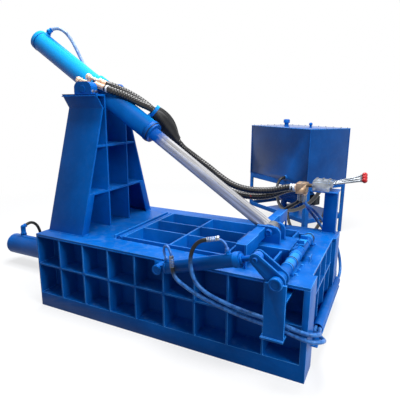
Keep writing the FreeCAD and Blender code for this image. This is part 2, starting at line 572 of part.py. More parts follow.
clamp_at, clamp_dir = V(*drawn((502, 90, -182))[0]), V(0.6, 0.45, -0.661)
clamp = rod(CLAMP_R, clamp_at - clamp_dir * CLAMP_L / 2, clamp_at + clamp_dir * CLAMP_L / 2)
clamp_foot = rod(14, clamp_at, lid_point(520, MID_Y + 30, LID_BARREL_R - 12))
cap_corner, cap_mouth = drawn((-568, 0, 526), (-550, 16, 539))
cap_elbow = [rod(20, lid_point(LID_CAP_S + 80, MID_Y, LID_BARREL_R + 14), cap_corner),
             Part.makeSphere(21, V(*cap_corner)), rod(18, cap_corner, cap_mouth)]
far_boss = along(box(-112, -72, LID_BARREL_R - 20, LID_BARREL_R + 48, -20, 20),
                 (TRUN_X, MID_Y, TRUN_Z), LID_REST_DEG)
inside = along(rod(LID_BORE_R + 8, (LID_CAP_S + LID_CAP_T, 0, 0), (LID_HEAD_S + 1, 0, 0)),
               (TRUN_X, MID_Y, TRUN_Z), LID_REST_DEG)
outside_parts = fuse(clamp, clamp_foot, far_boss, cap_elbow).cut(inside)
save("lid_barrel", fuse(barrel, outside_parts))
gland = fuse(rod(LID_BORE_R, (LID_HEAD_S - LID_GLAND_L, 0, 0), (LID_HEAD_S, 0, 0)),
             rod(LID_BARREL_R - 4, (LID_HEAD_S, 0, 0), (LID_HEAD_S + 22, 0, 0)))
gland = gland.cut(rod(LID_ROD_R + RUN_FIT, (LID_HEAD_S - LID_GLAND_L - 1, 0, 0), (LID_HEAD_S + 30, 0, 0)))
save("lid_gland", along(gland, (TRUN_X, MID_Y, TRUN_Z), LID_REST_DEG))
piston_s = LID_HEAD_S - LID_GLAND_L - LID_PISTON_L - 5
lid_rod = fuse(rod(LID_ROD_R, (piston_s, 0, 0), (LID_REST_L - LID_EYE_R * 0.8, 0, 0)),
               rod(LID_BORE_R - RUN_FIT, (piston_s, 0, 0), (piston_s + LID_PISTON_L, 0, 0)))
eye = rod(LID_EYE_R, (LID_REST_L, -(EAR_IN - 3), 0), (LID_REST_L, EAR_IN - 3, 0))
eye_bore = rod(CLEVIS_PIN_R + RUN_FIT, (LID_REST_L, -EAR_IN, 0), (LID_REST_L, EAR_IN, 0))
lid_rod = lid_rod.cut(rod(LID_EYE_R, (LID_REST_L, -EAR_IN, 0), (LID_REST_L, EAR_IN, 0)))
save("lid_rod", along(lid_rod, (TRUN_X, MID_Y, TRUN_Z), LID_REST_DEG))
clevis_pin = rod(CLEVIS_PIN_R, (LID_REST_L, -(EAR_IN - 1), 0), (LID_REST_L, EAR_IN - 1, 0))
lid_eye = Part.makeCompound([eye.cut(eye_bore), clevis_pin])
save("lid_rod_eye", along(lid_eye, (TRUN_X, MID_Y, TRUN_Z), LID_REST_DEG))

# ---- main ram --------------------------------------------------------------------------------------------
ram = rod(RAM_BARREL_R, (RAM_CAP_X, MID_Y, RAM_Z), (HEAD_WALL_X, MID_Y, RAM_Z))
cap_rim = [e for e in ram.Edges if e.Length > 600 and abs(e.BoundBox.XMax - RAM_CAP_X) < 1e-3]
ram = ram.makeFillet(26, cap_rim)
ram = fuse(ram,
           rod(RAM_FLANGE_R, (HEAD_WALL_X - RAM_FLANGE_T, MID_Y, RAM_Z), (HEAD_WALL_X, MID_Y, RAM_Z)),
           rod(32, (RAM_CAP_X + RAM_PORT_IN, MID_Y, RAM_Z),
               (RAM_CAP_X + RAM_PORT_IN, MID_Y, RAM_Z + RAM_BARREL_R + 14)),
           rod(32, (HEAD_WALL_X - 90, MID_Y, RAM_Z), (HEAD_WALL_X - 90, MID_Y, RAM_Z + RAM_BARREL_R + 14)))
ram = ram.cut(rod(RAM_BORE_R, (RAM_CAP_X + RAM_CAP_T, MID_Y, RAM_Z), (HEAD_WALL_X + 1, MID_Y, RAM_Z)))
ram_gland = rod(RAM_BORE_R, (HEAD_WALL_X - RAM_GLAND_L, MID_Y, RAM_Z), (HEAD_WALL_X, MID_Y, RAM_Z))
ram_gland = ram_gland.cut(rod(RAM_ROD_R + RUN_FIT, (HEAD_WALL_X - RAM_GLAND_L - 1, MID_Y, RAM_Z),
                              (HEAD_WALL_X + 1, MID_Y, RAM_Z)))
bolts = []
for i in range(8):
    a = math.radians(22.5 + 45 * i)
    y, z = MID_Y + FLANGE_PITCH_R * math.cos(a), RAM_Z + FLANGE_PITCH_R * math.sin(a)
    hexagon = Part.makePolygon([V(HEAD_WALL_X - RAM_FLANGE_T, y + FLANGE_BOLT_R * 1.6 * math.cos(math.radians(60 * k)),
                                  z + FLANGE_BOLT_R * 1.6 * math.sin(math.radians(60 * k))) for k in range(7)])
    bolts.append(Part.Face(hexagon).extrude(V(-15, 0, 0)))
save("ram_flange_bolts", Part.makeCompound(bolts))
ram_piston_x = HEAD_WALL_X - RAM_GLAND_L - RAM_PISTON_L - RAM_STROKE - 4
ram_rod = fuse(rod(RAM_ROD_R, (ram_piston_x, MID_Y, RAM_Z), (HEAD_X0, MID_Y, RAM_Z)),
               rod(RAM_BORE_R - RUN_FIT, (ram_piston_x, MID_Y, RAM_Z), (ram_piston_x + RAM_PISTON_L, MID_Y, RAM_Z)))
save("ram_rod", ram_rod)
head_y0, head_y1 = CHAMBER_Y0 + HEAD_GAP, CHAMBER_Y1 - HEAD_GAP
head_z0 = BED_TOP + 1
press_head = fuse(
    box(HEAD_X1 - HEAD_T, HEAD_X1, head_y0, head_y1, head_z0, HEAD_TOP),
    box(HEAD_X0, HEAD_X0 + HEAD_T, head_y0, head_y1, head_z0, HEAD_TOP),
    box(HEAD_X0, HEAD_X1, head_y0, head_y1, head_z0, head_z0 + HEAD_RIB_T),
    box(HEAD_X0, HEAD_X1, head_y0, head_y1, HEAD_TOP - HEAD_RIB_T, HEAD_TOP),
    [box(HEAD_X0, HEAD_X1, y - HEAD_RIB_T / 2, y + HEAD_RIB_T / 2, head_z0, HEAD_TOP)
     for y in (head_y0 + HEAD_RIB_T / 2, MID_Y - 200, MID_Y, MID_Y + 200, head_y1 - HEAD_RIB_T / 2)])
save("press_head", press_head)

# ---- turn-out shaft, lever and tray -------------------------------------------------------------------------
lever_side = LEVER_GAP / 2
lever_out = LEVER_Y - lever_side - LEVER_T
save("turnout_shaft", rod(SHAFT_R, (SHAFT_X, POST_Y0 - 12, SHAFT_Z), (SHAFT_X, SLEEVE_Y[3], SHAFT_Z)))


def sleeve(y0, y1, bore):
    return ring(SLEEVE_R, bore, (SHAFT_X, y0, SHAFT_Z), (SHAFT_X, y1, SHAFT_Z))


def saddle(y0, y1):
    """Weld strip between the deck and a fixed sleeve."""
    strip_ = prism([(SHAFT_X - 10, BOX_H), (SHAFT_X + 46, BOX_H), (SHAFT_X + 46, BOX_H + 12),
                    (SHAFT_X + 12, SHAFT_Z), (SHAFT_X - 6, SHAFT_Z)], "y", y0, y1)
    return strip_.cut(rod(SLEEVE_R, (SHAFT_X, y0 - 1, SHAFT_Z), (SHAFT_X, y1 + 1, SHAFT_Z)))


near_bearing = sleeve(SLEEVE_Y[0], SLEEVE_Y[1] - SLEEVE_GAP, SHAFT_R + RUN_FIT)
near_bearing = fuse(near_bearing, saddle(SLEEVE_Y[0] + 10, SLEEVE_Y[1] - 16))
far_bearing = fuse(sleeve(SLEEVE_Y[2] + SLEEVE_GAP, SLEEVE_Y[3], SHAFT_R + RUN_FIT),
                   saddle(SLEEVE_Y[2] + 10, SLEEVE_Y[3] - 6))
save("shaft_bearings", Part.makeCompound([near_bearing, far_bearing]))

lever_dx, lever_dz = LEVER_PIN_DX, LEVER_PIN_DZ
lever_len = math.hypot(lever_dx, lever_dz)
lever_deg = math.degrees(math.atan2(lever_dz, lever_dx))


def lever_plate(y0):
    """Tapered plate round the shaft and the rod pin, built along +X then turned to the pin."""
    half_a = math.asin((LEVER_HUB_R - LEVER_TIP_R) / lever_len)
    sx, cx = math.sin(half_a), math.cos(half_a)
    hub_t, hub_b = V(LEVER_HUB_R * sx, y0, LEVER_HUB_R * cx), V(LEVER_HUB_R * sx, y0, -LEVER_HUB_R * cx)
    tip_t = V(lever_len + LEVER_TIP_R * sx, y0, LEVER_TIP_R * cx)
    tip_b = V(lever_len + LEVER_TIP_R * sx, y0, -LEVER_TIP_R * cx)
    edges = [Part.Arc(hub_b, V(-LEVER_HUB_R, y0, 0), hub_t).toShape(), Part.makeLine(hub_t, tip_t),
             Part.Arc(tip_t, V(lever_len + LEVER_TIP_R, y0, 0), tip_b).toShape(), Part.makeLine(tip_b, hub_b)]
    plate = Part.Face(Part.Wire(edges)).extrude(V(0, LEVER_T, 0))
    plate = plate.cut(rod(SIDE_PIN_R, (lever_len, y0 - 1, 0), (lever_len, y0 + LEVER_T + 1, 0)))
    return along(plate, (SHAFT_X, 0, SHAFT_Z), lever_deg)


hub = ring(SLEEVE_R, SHAFT_R, (SHAFT_X, lever_out, SHAFT_Z), (SHAFT_X, SLEEVE_Y[0] - SLEEVE_GAP, SHAFT_Z))
plates = [lever_plate(lever_out), lever_plate(LEVER_Y + lever_side)]
lever = fuse(hub, plates).cut(rod(SHAFT_R, (SHAFT_X, lever_out - 1, SHAFT_Z), (SHAFT_X, SLEEVE_Y[0], SHAFT_Z)))
save("turnout_lever", lever)
pin_x, pin_z = SHAFT_X + lever_dx, SHAFT_Z + lever_dz
lever_heads = []
for side in (-1, 1):
    face_y = LEVER_Y + side * (lever_side + 0.5)
    far_y = LEVER_Y + side * (lever_side + LEVER_T + 9)
    lever_heads.append(rod(SIDE_PIN_R, (pin_x, face_y, pin_z), (pin_x, far_y, pin_z)))
save("lever_pin_heads", Part.makeCompound(lever_heads))

tray_y0, tray_y1 = CHAMBER_Y0 + TRAY_GAP, CHAMBER_Y1 - TRAY_GAP
arm_x0 = ARM_X1 - ARM_T
hub_y0, hub_y1 = SLEEVE_Y[1], SLEEVE_Y[2]
arm = prism([(tray_y0, BED_TOP + 2), (tray_y1, BED_TOP + 2), (tray_y1, LID_BOTTOM), (hub_y1, deck_under - 30),
             (hub_y1, SHAFT_Z + 8), (hub_y0, SHAFT_Z + 8), (hub_y0, deck_under - 30), (tray_y0, LID_BOTTOM)],
            "x", arm_x0, ARM_X1)
tray_floor = box(TRAY_X0, ARM_X1, tray_y0, tray_y1, BED_TOP + 2, BED_TOP + 2 + TRAY_T)
tray_hub = rod(SLEEVE_R, (SHAFT_X, hub_y0, SHAFT_Z), (SHAFT_X, hub_y1, SHAFT_Z))
lug_plate = prism([(arm_x0, SHAFT_Z + 4), (ARM_X1 + 18, SHAFT_Z + 30), (ARM_X1 + 18, SHAFT_Z + 44),
                   (arm_x0, SHAFT_Z + 20)], "y", hub_y0 + 60, hub_y1 - 20)
slot_cuts = [box(arm_x0 - 5, ARM_X1 + 30, y - 9, y + 9, SHAFT_Z + 22, SHAFT_Z + 60)
             for y in (hub_y0 + 130, hub_y1 - 90)]
tray = fuse(arm, tray_floor, tray_hub, lug_plate)
for cutter in slot_cuts:
    tray = tray.cut(cutter)
tray = tray.cut(rod(SHAFT_R, (SHAFT_X, hub_y0 - 1, SHAFT_Z), (SHAFT_X, hub_y1 + 1, SHAFT_Z)))
save("turnout_tray", tray)

# ---- turn-out cylinder, built along +X from its rear pin -----------------------------------------------------
side_dx, side_dz = pin_x - SIDE_PIN_X, pin_z - SIDE_PIN_Z
SIDE_REST_L = math.hypot(side_dx, side_dz)
SIDE_REST_DEG = math.degrees(math.atan2(side_dz, side_dx))
side_at = (SIDE_PIN_X, LEVER_Y, SIDE_PIN_Z)
s0, s1 = SIDE_BARREL_S
side_barrel = fuse(rod(SIDE_BARREL_R, (s0, 0, 0), (s1, 0, 0)),
                   rod(SIDE_BARREL_R + 5, (s1 - 44, 0, 0), (s1, 0, 0)),
                   rod(SIDE_EYE_R, (0, -SIDE_EYE_W / 2, 0), (0, SIDE_EYE_W / 2, 0)),
                   box(0, s0, -SIDE_EYE_W / 2, SIDE_EYE_W / 2, -24, 24),
                   rod(16, (s0 + 20, 0, 0), (s0 + 20, 0, SIDE_BARREL_R + 10)),
                   rod(16, (s1 - 76, 0, 0), (s1 - 76, 0, SIDE_BARREL_R + 18)))
side_barrel = side_barrel.cut(rod(SIDE_BORE_R, (s0 + 26, 0, 0), (s1 + 1, 0, 0)))
side_barrel = side_barrel.cut(rod(SIDE_PIN_R + RUN_FIT, (0, -SIDE_EYE_W, 0), (0, SIDE_EYE_W, 0)))
save("turnout_barrel", along(side_barrel, side_at, SIDE_REST_DEG))
side_gland = ring(SIDE_BORE_R, SIDE_ROD_R + RUN_FIT, (s1 - SIDE_GLAND_L, 0, 0), (s1, 0, 0))
side_gland = fuse(side_gland, ring(SIDE_BORE_R - 2, SIDE_ROD_R + RUN_FIT, (s1, 0, 0), (s1 + 12, 0, 0)))
save("turnout_gland", along(side_gland, side_at, SIDE_REST_DEG))
side_rod = fuse(rod(SIDE_ROD_R, (s0 + 40, 0, 0), (SIDE_REST_L - SIDE_EYE_R * 0.7, 0, 0)),
                rod(SIDE_BORE_R - RUN_FIT, (s0 + 40, 0, 0), (s0 + 80, 0, 0)),
                rod(SIDE_EYE_R, (SIDE_REST_L, -SIDE_EYE_W / 2, 0), (SIDE_REST_L, SIDE_EYE_W / 2, 0)))
side_rod = side_rod.cut(rod(SIDE_PIN_R + RUN_FIT, (SIDE_REST_L, -SIDE_EYE_W, 0), (SIDE_REST_L, SIDE_EYE_W, 0)))
lever_pin = rod(SIDE_PIN_R, (SIDE_REST_L, -lever_side + 1, 0), (SIDE_REST_L, lever_side - 1, 0))
save("turnout_rod", along(Part.makeCompound([side_rod, lever_pin]), side_at, SIDE_REST_DEG))

# rear seat of the turn-out cylinder: a pad and boss on the near wall's ribs and a pin with a round cap
eye_gap = SIDE_EYE_W / 2 + 2
bracket = fuse(box(SIDE_PIN_X - 62, SIDE_PIN_X + 42, -12, 0, SIDE_PIN_Z - 52, SIDE_PIN_Z + 29),
               rod(SIDE_EYE_R, (SIDE_PIN_X, LEVER_Y + eye_gap, SIDE_PIN_Z), (SIDE_PIN_X, 0, SIDE_PIN_Z)),
               rod(SIDE_PIN_R, (SIDE_PIN_X, LEVER_Y - eye_gap - SIDE_CAP_T, SIDE_PIN_Z), (SIDE_PIN_X, 0, SIDE_PIN_Z)),
               rod(SIDE_EYE_R + 2, (SIDE_PIN_X, LEVER_Y - eye_gap - SIDE_CAP_T, SIDE_PIN_Z),
                   (SIDE_PIN_X, LEVER_Y - eye_gap, SIDE_PIN_Z)))
save("turnout_rear_bracket", bracket)

# ---- hose conduit on the right-hand ledge ------------------------------------------------------------------------
save("hose_conduit", ring(CONDUIT_R, CONDUIT_R - CONDUIT_WALL, (CONDUIT_X, CONDUIT_Y0, conduit_z),
                          (CONDUIT_X, CONDUIT_Y1, conduit_z)))

# ---- power unit, built in its own frame and then turned and placed -------------------------------------
def place_unit(shape):
    placed = shape.copy()
    placed.rotate(V(0, 0, 0), V(0, 0, 1), UNIT_TURN)
    placed.translate(V(UNIT_X, UNIT_Y, 0))
    return placed


tank = box(0, TANK_W, 0, TANK_L, TANK_Z0, TANK_TOP - TANK_COVER_T)
tank = tank.cut(box(TANK_T, TANK_W - TANK_T, TANK_T, TANK_L - TANK_T, TANK_Z0 + TANK_T,
                    TANK_TOP - TANK_COVER_T - TANK_T))
cover = box(-TANK_LIP, TANK_W + TANK_LIP, -TANK_LIP, TANK_L + TANK_LIP, TANK_TOP - TANK_COVER_T, TANK_TOP)
return_port = (0.0, 420.0, TANK_Z0 + 60)
return_boss = rod(28, (return_port[0] - 20, return_port[1], return_port[2]), return_port)
save("oil_tank", place_unit(fuse(tank, cover, return_boss)))


def leg(x, y, turn):
    """Angle-section leg with its corner at x, y."""
    outline = [(0, 0), (LEG_W, 0), (LEG_W, LEG_T), (LEG_T, LEG_T), (LEG_T, LEG_W), (0, LEG_W)]
    piece = prism(outline, "z", 0, TANK_Z0)
    piece.rotate(V(0, 0, 0), V(0, 0, 1), turn)
    piece.translate(V(x, y, 0))
    return piece


legs = [leg(0, 0, 0), leg(TANK_W, 0, 90), leg(TANK_W, TANK_L, 180), leg(0, TANK_L, 270)]
rails = []
for z in (SHELF_RAIL_Z - LEG_W, TANK_Z0 - LEG_W):
    rails += [box(0, LEG_T, 0, TANK_L, z, z + LEG_W), box(TANK_W - LEG_T, TANK_W, 0, TANK_L, z, z + LEG_W),
              box(0, TANK_W, 0, LEG_T, z, z + LEG_W), box(0, TANK_W, TANK_L - LEG_T, TANK_L, z, z + LEG_W)]
shelf_plate = box(0, TANK_W, 0, MOTOR_Y1 + 60, SHELF_RAIL_Z - LEG_T, SHELF_RAIL_Z)
save("tank_stand", place_unit(fuse(legs[0], legs[1:], rails, shelf_plate)))
caps = []
for cx, cy, radius, height in CAPS:
    neck = rod(radius * 0.7, (cx, cy, TANK_TOP), (cx, cy, TANK_TOP + height * 0.6))
    caps.append(fuse(neck, rod(radius, (cx, cy, TANK_TOP + height * 0.45), (cx, cy, TANK_TOP + height))))
save("tank_caps", place_unit(Part.makeCompound(caps)))

motor_x = TANK_W / 2
fin_outline = []
for i in range(MOTOR_FINS):
    for share, r in ((0.0, MOTOR_R), (0.25, MOTOR_R), (0.32, MOTOR_R - MOTOR_FIN_H), (0.93, MOTOR_R - MOTOR_FIN_H)):
        a = 2 * math.pi * (i + share) / MOTOR_FINS
        fin_outline.append((motor_x + r * math.cos(a), MOTOR_Z + r * math.sin(a)))
motor = prism(fin_outline, "y", MOTOR_Y1 - MOTOR_L, MOTOR_Y1)
motor_ends = [rod(MOTOR_R + 4, (motor_x, y, MOTOR_Z), (motor_x, y + t, MOTOR_Z))
              for y, t in ((MOTOR_Y1 - MOTOR_L - MOTOR_END_T, MOTOR_END_T), (MOTOR_Y1, MOTOR_COWL_L))]
feet = [box(motor_x + side - FOOT_W / 2, motor_x + side + FOOT_W / 2, y, y + FOOT_L, SHELF_RAIL_Z,
            MOTOR_Z - MOTOR_R * 0.6)
        for side in (-FOOT_OUT, FOOT_OUT)
        for y in (MOTOR_Y1 - MOTOR_L + FOOT_IN, MOTOR_Y1 - FOOT_IN - FOOT_L)]
terminal = box(motor_x - TERMINAL_W / 2, motor_x + TERMINAL_W / 2, MOTOR_Y1 - TERMINAL_Y,
               MOTOR_Y1 - TERMINAL_Y + TERMINAL_L, MOTOR_Z + MOTOR_R - 20, MOTOR_Z + MOTOR_R - 20 + TERMINAL_H)
bell_y1 = MOTOR_Y1 - MOTOR_L - MOTOR_END_T
bell = fuse(rod(BELL_R, (motor_x, bell_y1 - BELL_L, MOTOR_Z), (motor_x, bell_y1, MOTOR_Z)),
            rod(BELL_R - 24, (motor_x, bell_y1 - BELL_L - 14, MOTOR_Z), (motor_x, bell_y1 - BELL_L, MOTOR_Z)))
save("electric_motor", place_unit(fuse(motor, motor_ends, feet, terminal, bell)))
pump_y1 = bell_y1 - BELL_L - 14
pump = fuse(box(motor_x - PUMP_W / 2, motor_x + PUMP_W / 2, pump_y1 - PUMP_L, pump_y1,
                MOTOR_Z - PUMP_H / 2, MOTOR_Z + PUMP_H / 2),
            rod(34, (motor_x - PUMP_W / 2 - 22, pump_y1 - PUMP_L / 2, MOTOR_Z),
                (motor_x, pump_y1 - PUMP_L / 2, MOTOR_Z)),
            rod(34, (motor_x, pump_y1 - PUMP_L / 2, MOTOR_Z),
                (motor_x + PUMP_W / 2 + 22, pump_y1 - PUMP_L / 2, MOTOR_Z)))
save("hydraulic_pump", place_unit(pump))

# ---- valve stand on the back corner of the deck ------------------------------------------------------------
valve_y1 = VALVE_Y0 + 2 * VALVE_END + VALVE_SECTIONS * VALVE_SECTION
stand = fuse(box(VPOST_X0, VPOST_X1, VPOST_Y0, VPOST_Y0 + VPOST_T, BOX_H, VPOST_TOP),
             box(VPOST_X1 - VPOST_T, VPOST_X1, VPOST_Y0, VPOST_Y1, BOX_H, VPOST_TOP),
             box(VPOST_X0, VPOST_X1, VPOST_Y1 - VPOST_T, VPOST_Y1, BOX_H, VPOST_TOP),
             box(VALVE_X0 - 6, VPOST_X1, VALVE_Y0, valve_y1, VPOST_TOP, VPOST_TOP + VPOST_T))
save("valve_stand", stand)
valve_z0 = VPOST_TOP + VPOST_T
valve_z1 = valve_z0 + VALVE_H
slices = [box(VALVE_X0, VALVE_X1, VALVE_Y0, VALVE_Y0 + VALVE_END, valve_z0, valve_z1 - 10),
          box(VALVE_X0, VALVE_X1, valve_y1 - VALVE_END, valve_y1, valve_z0, valve_z1 - 10)]
lever_pivot_x = VALVE_X1 + 14
lever_pivot_z = valve_z1 - 22
lever_ys = [VALVE_Y0 + VALVE_END + VALVE_SECTION * (k + 0.5) for k in range(VALVE_SECTIONS)]
for y in lever_ys:
    half_w = VALVE_SECTION / 2 - 1.5
    slices.append(box(VALVE_X0, VALVE_X1, y - half_w, y + half_w, valve_z0, valve_z1))
    slices.append(box(VALVE_X0, VALVE_X1, y - half_w - 1.5, y + half_w + 1.5, valve_z0, valve_z1 - 10))
    slices.append(rod(15, (VALVE_X0 - 10, y, valve_z0 + 30), (VALVE_X0, y, valve_z0 + 30)))
    for side in (-1, 1):
        cheek_y = y + side * 12
        slices.append(box(VALVE_X1, VALVE_X1 + 26, min(cheek_y, cheek_y + side * 5),
                          max(cheek_y, cheek_y + side * 5), lever_pivot_z - 16, valve_z1))
valve = fuse(slices[0], slices[1:])
pivot_pins = [rod(5, (lever_pivot_x, y - 17, lever_pivot_z), (lever_pivot_x, y + 17, lever_pivot_z))
              for y in lever_ys]
save("control_valve", fuse(valve, pivot_pins))
for k, y in enumerate(lever_ys):
    boss = rod(11, (0, -11, 0), (0, 11, 0))
    stem = rod(LEVER_ROD_R, (0, 0, 0), (LEVER_ROD_L, 0, 0))
    knob = Part.makeSphere(KNOB_R, V(LEVER_ROD_L + KNOB_R * 0.85, 0, 0))
    handle = fuse(boss, stem, knob).cut(rod(5 + RUN_FIT, (0, -20, 0), (0, 20, 0)))
    save("valve_lever_" + str(k + 1), along(handle, (lever_pivot_x, y, lever_pivot_z), LEVER_TILTS[k]))
manifold = fuse(box(MANIFOLD_X0, MANIFOLD_X1, VALVE_Y0 + 16, VALVE_Y0 + 138, MANIFOLD_Z0, MANIFOLD_Z1),
                [rod(11, (MANIFOLD_X1, y, valve_z0 + 30), (VALVE_X0 - 10, y, valve_z0 + 30)) for y in lever_ys[:2]])


# ---- hoses --------------------------------------------------------------------------------------------------
def path_of(points):
    """Straight runs joined by tangent arcs; gives the pieces of the path and the arc radii."""
    pts = [V(*p) for p in points]
    pieces, radii = [], []
    here = pts[0]
    for a, b, c in zip(pts, pts[1:], pts[2:]):
        before, after = b - a, c - b
        reach = 0.45 * min(before.Length, after.Length)
        before.normalize()
        after.normalize()
        turn = before.getAngle(after)
        radius = reach / math.tan(turn / 2)
        start, end = b - before * reach, b + after * reach
        inward = (after - before).normalize()
        middle = b + inward * (radius / math.cos(turn / 2) - radius)
        pieces += [("line", here, start), ("arc", start, middle, end)]
        radii.append(radius)
        here = end
    pieces.append(("line", here, pts[-1]))
    return pieces, radii


def path_wire(pieces):
    return Part.Wire([Part.LineSegment(p[1], p[2]).toShape() if p[0] == "line"
                      else Part.Arc(p[1], p[2], p[3]).toShape() for p in pieces])


def sweep(pieces, radius):
    wire = path_wire(pieces)
    start = pieces[0][1]
    circle = Part.Wire([Part.makeCircle(radius, start, (pieces[0][2] - start))])
    return wire.makePipeShell([circle], True, False)


def along_path(pieces, distance):
    """Point and direction at a distance along the path."""
    for piece in pieces:
        edge = (Part.LineSegment(piece[1], piece[2]) if piece[0] == "line"
                else Part.Arc(piece[1], piece[2], piece[3])).toShape()
        if distance <= edge.Length + 1e-6:
            u = edge.getParameterByLength(min(distance, edge.Length))
            return edge.valueAt(u), edge.tangentAt(u)
        distance -= edge.Length
    return edge.valueAt(edge.LastParameter), edge.tangentAt(edge.LastParameter)


def hose(name, points, radius):
    pieces, radii = path_of(points)
    solid = sweep(pieces, radius)
    length = path_wire(pieces).Length
    print("%s: length %.0f mm, radii %s, volume share %.4f" % (
        name, length, " ".join("%.0f" % r for r in radii), solid.Volume / (math.pi * radius ** 2 * length)))
    save(name, solid)


def ribbed_hose(name, points):
    """Guarded hose: a ruled loft through four circles for each rib, with the hose bore left open."""
    pieces, radii = path_of(points)
    length = path_wire(pieces).Length
    plain = 2 * GUARD_R
    count = int((length - 2 * plain) / GUARD_PITCH)
    pitch = (length - 2 * plain) / count
    stations = [(0.0, GUARD_R)]
    for i in range(count):
        s = plain + pitch * i
        stations += [(s, GUARD_R), (s + pitch * 0.2, GUARD_CREST), (s + pitch * 0.55, GUARD_CREST),
                     (s + pitch * 0.75, GUARD_R)]
    stations.append((length, GUARD_R))
    rings = []
    for s, r in stations:
        centre, direction = along_path(pieces, s)
        side = V(0, 0, 1).cross(direction).normalize()
        up = direction.cross(side)
        turn = FreeCAD.Rotation(side, up, direction, "XYZ")
        ring_ = Part.Wire([Part.makeCircle(r)])
        ring_.Placement = FreeCAD.Placement(centre, turn)
        rings.append(ring_)
    solid = Part.makeLoft(rings, True, True).cut(sweep(pieces, GUARD_BORE))
    print("%s: length %.0f mm, radii %s, ribs %d" % (
        name, length, " ".join("%.0f" % r for r in radii), count))
    save(name, solid)


# carried by the lid cylinder as far as the clamp, then in a sleeve
ribbed_hose("lid_hose_near", drawn((153, -120, 7), (195, -120, -5), (245, -82, -26), (300, -28, -56),
                              (360, 10, -91), (426, 29, -126), (491.5, 42.8, -149.6),
                              (513.1, 59, -173.4)))
ribbed_hose("lid_hose_far", drawn((133, -75, 42), (169, -62, 30), (218, -14, 4), (275, 36, -31),
                             (338, 76, -72), (395, 91, -110), (453.7, 93.2, -149.6),
                             (475.3, 109.4, -173.4)))
hose("lid_hose_sleeve", drawn((509.8, 95.9, -190.6), (536, 115.5, -219.4), (570, 176, -306), (612, 260, -434)),
     SLEEVE_HOSE_R)
ribbed_hose("lid_hose_near_loop", [(890, 868, 1408), (909, 904, 1350), (930, 1012, 1290), (985, 1088, 1222),
                                   (1105, 1102, 1144), (1215, 1106, 1066), (1345, 1110, 995),
                                   (1497, 1136, 964), (1671, 1178, 968), (1780, 1188, 1000),
                                   (1850, 1186, 1020), MANIFOLD_A])
ribbed_hose("lid_hose_far_loop", [(836, 896, 1408), (855, 932, 1350), (872, 1052, 1248), (930, 1135, 1160),
                                  (1030, 1152, 1075), (1130, 1158, 995), (1265, 1168, 925),
                                  (1450, 1190, 890), (1650, 1226, 905), (1770, 1246, 968),
                                  (1850, 1244, 1000), MANIFOLD_B])
hose("lid_cap_hose", drawn((-550, 16, 539), (-520, 42.7, 560.7), (-464, 82, 539), (-410, 112, 464),
                           (-362, 130, 359), (-312, 136, 259), (-242, 128, 174)) + [
    lid_point(-170, MID_Y + LID_BARREL_R + 27, 0), lid_point(-112, MID_Y + LID_BARREL_R + 27, 0)], CAP_HOSE_R)

# turn-out cylinder: a gooseneck at the rear port, an elbow at the front one, and two hoses that run
# past the bearing post, round the corner and through the conduit to the valve
def side_point(along_s, off_n):
    """A point in the turn-out cylinder's middle plane, measured along and square to its axis."""
    a = math.radians(SIDE_REST_DEG)
    return (SIDE_PIN_X + along_s * math.cos(a) - off_n * math.sin(a), LEVER_Y,
            SIDE_PIN_Z + along_s * math.sin(a) + off_n * math.cos(a))


def from_pin(*points):
    """Points noted from the rear pin of the turn-out cylinder."""
    return [(SIDE_PIN_X + x, LEVER_Y + y, SIDE_PIN_Z + z) for x, y, z in points]


rear_top, front_top = SIDE_BARREL_R + 10, SIDE_BARREL_R + 18
rear_neck, _ = path_of([side_point(s0 + 20, rear_top + 16)] + from_pin(
    (46, -5, 129), (58, -21, 180), (94, -38, 194), (126, -51, 160), (135, -57, 116)))
save("hose_elbow_rear", fuse(sweep(rear_neck, NECK_R),
                             rod(14, side_point(s0 + 20, rear_top), side_point(s0 + 20, rear_top + 18)),
                             rod(HOSE_R + 3, *from_pin((135, -57, 118), (143, -61, 62)))))
front_neck, _ = path_of([side_point(s1 - 76, front_top + 16)] + from_pin(
    (498, -1, 260), (474, -6, 284), (428, -16, 288)))
save("hose_elbow_front", fuse(sweep(front_neck, NECK_R),
                              rod(14, side_point(s1 - 76, front_top), side_point(s1 - 76, front_top + 18)),
                              rod(HOSE_R + 3, *from_pin((438, -13, 290), (384, -30.7, 280.2)))))
conduit_run = HOSE_R + 1.5
port_x = MANIFOLD_X1 - 18
hose("turnout_hose_rear", [
    (1405, -118, 668), (1411, -121, 626), (1436, -121, 588), (1484, -118, 556), (1560, -110, 515),
    (1652, -97, 474), (1755, -84, 440), (1875, -72, 408), (2016, -62, 384), (2158, -58, 372),
    (2240, -58, 350), (2312, -50, 334), (2364, -12, 324), (2382, 52, 300), (2374, 122, 266),
    (2350, 196, 230), (2322, 275, 203), (CONDUIT_X + conduit_run, 350, conduit_z),
    (CONDUIT_X + conduit_run, 1336, conduit_z), (2304, 1416, 238), (2290, 1438, 330), (2266, 1426, 430),
    (2230, 1398, 535), (2174, 1362, 640), (2108, 1314, 740), (2046, 1256, 822), (1990, 1200, 872),
    (port_x, 1190, 922), (port_x, 1190, MANIFOLD_Z0)], HOSE_R)
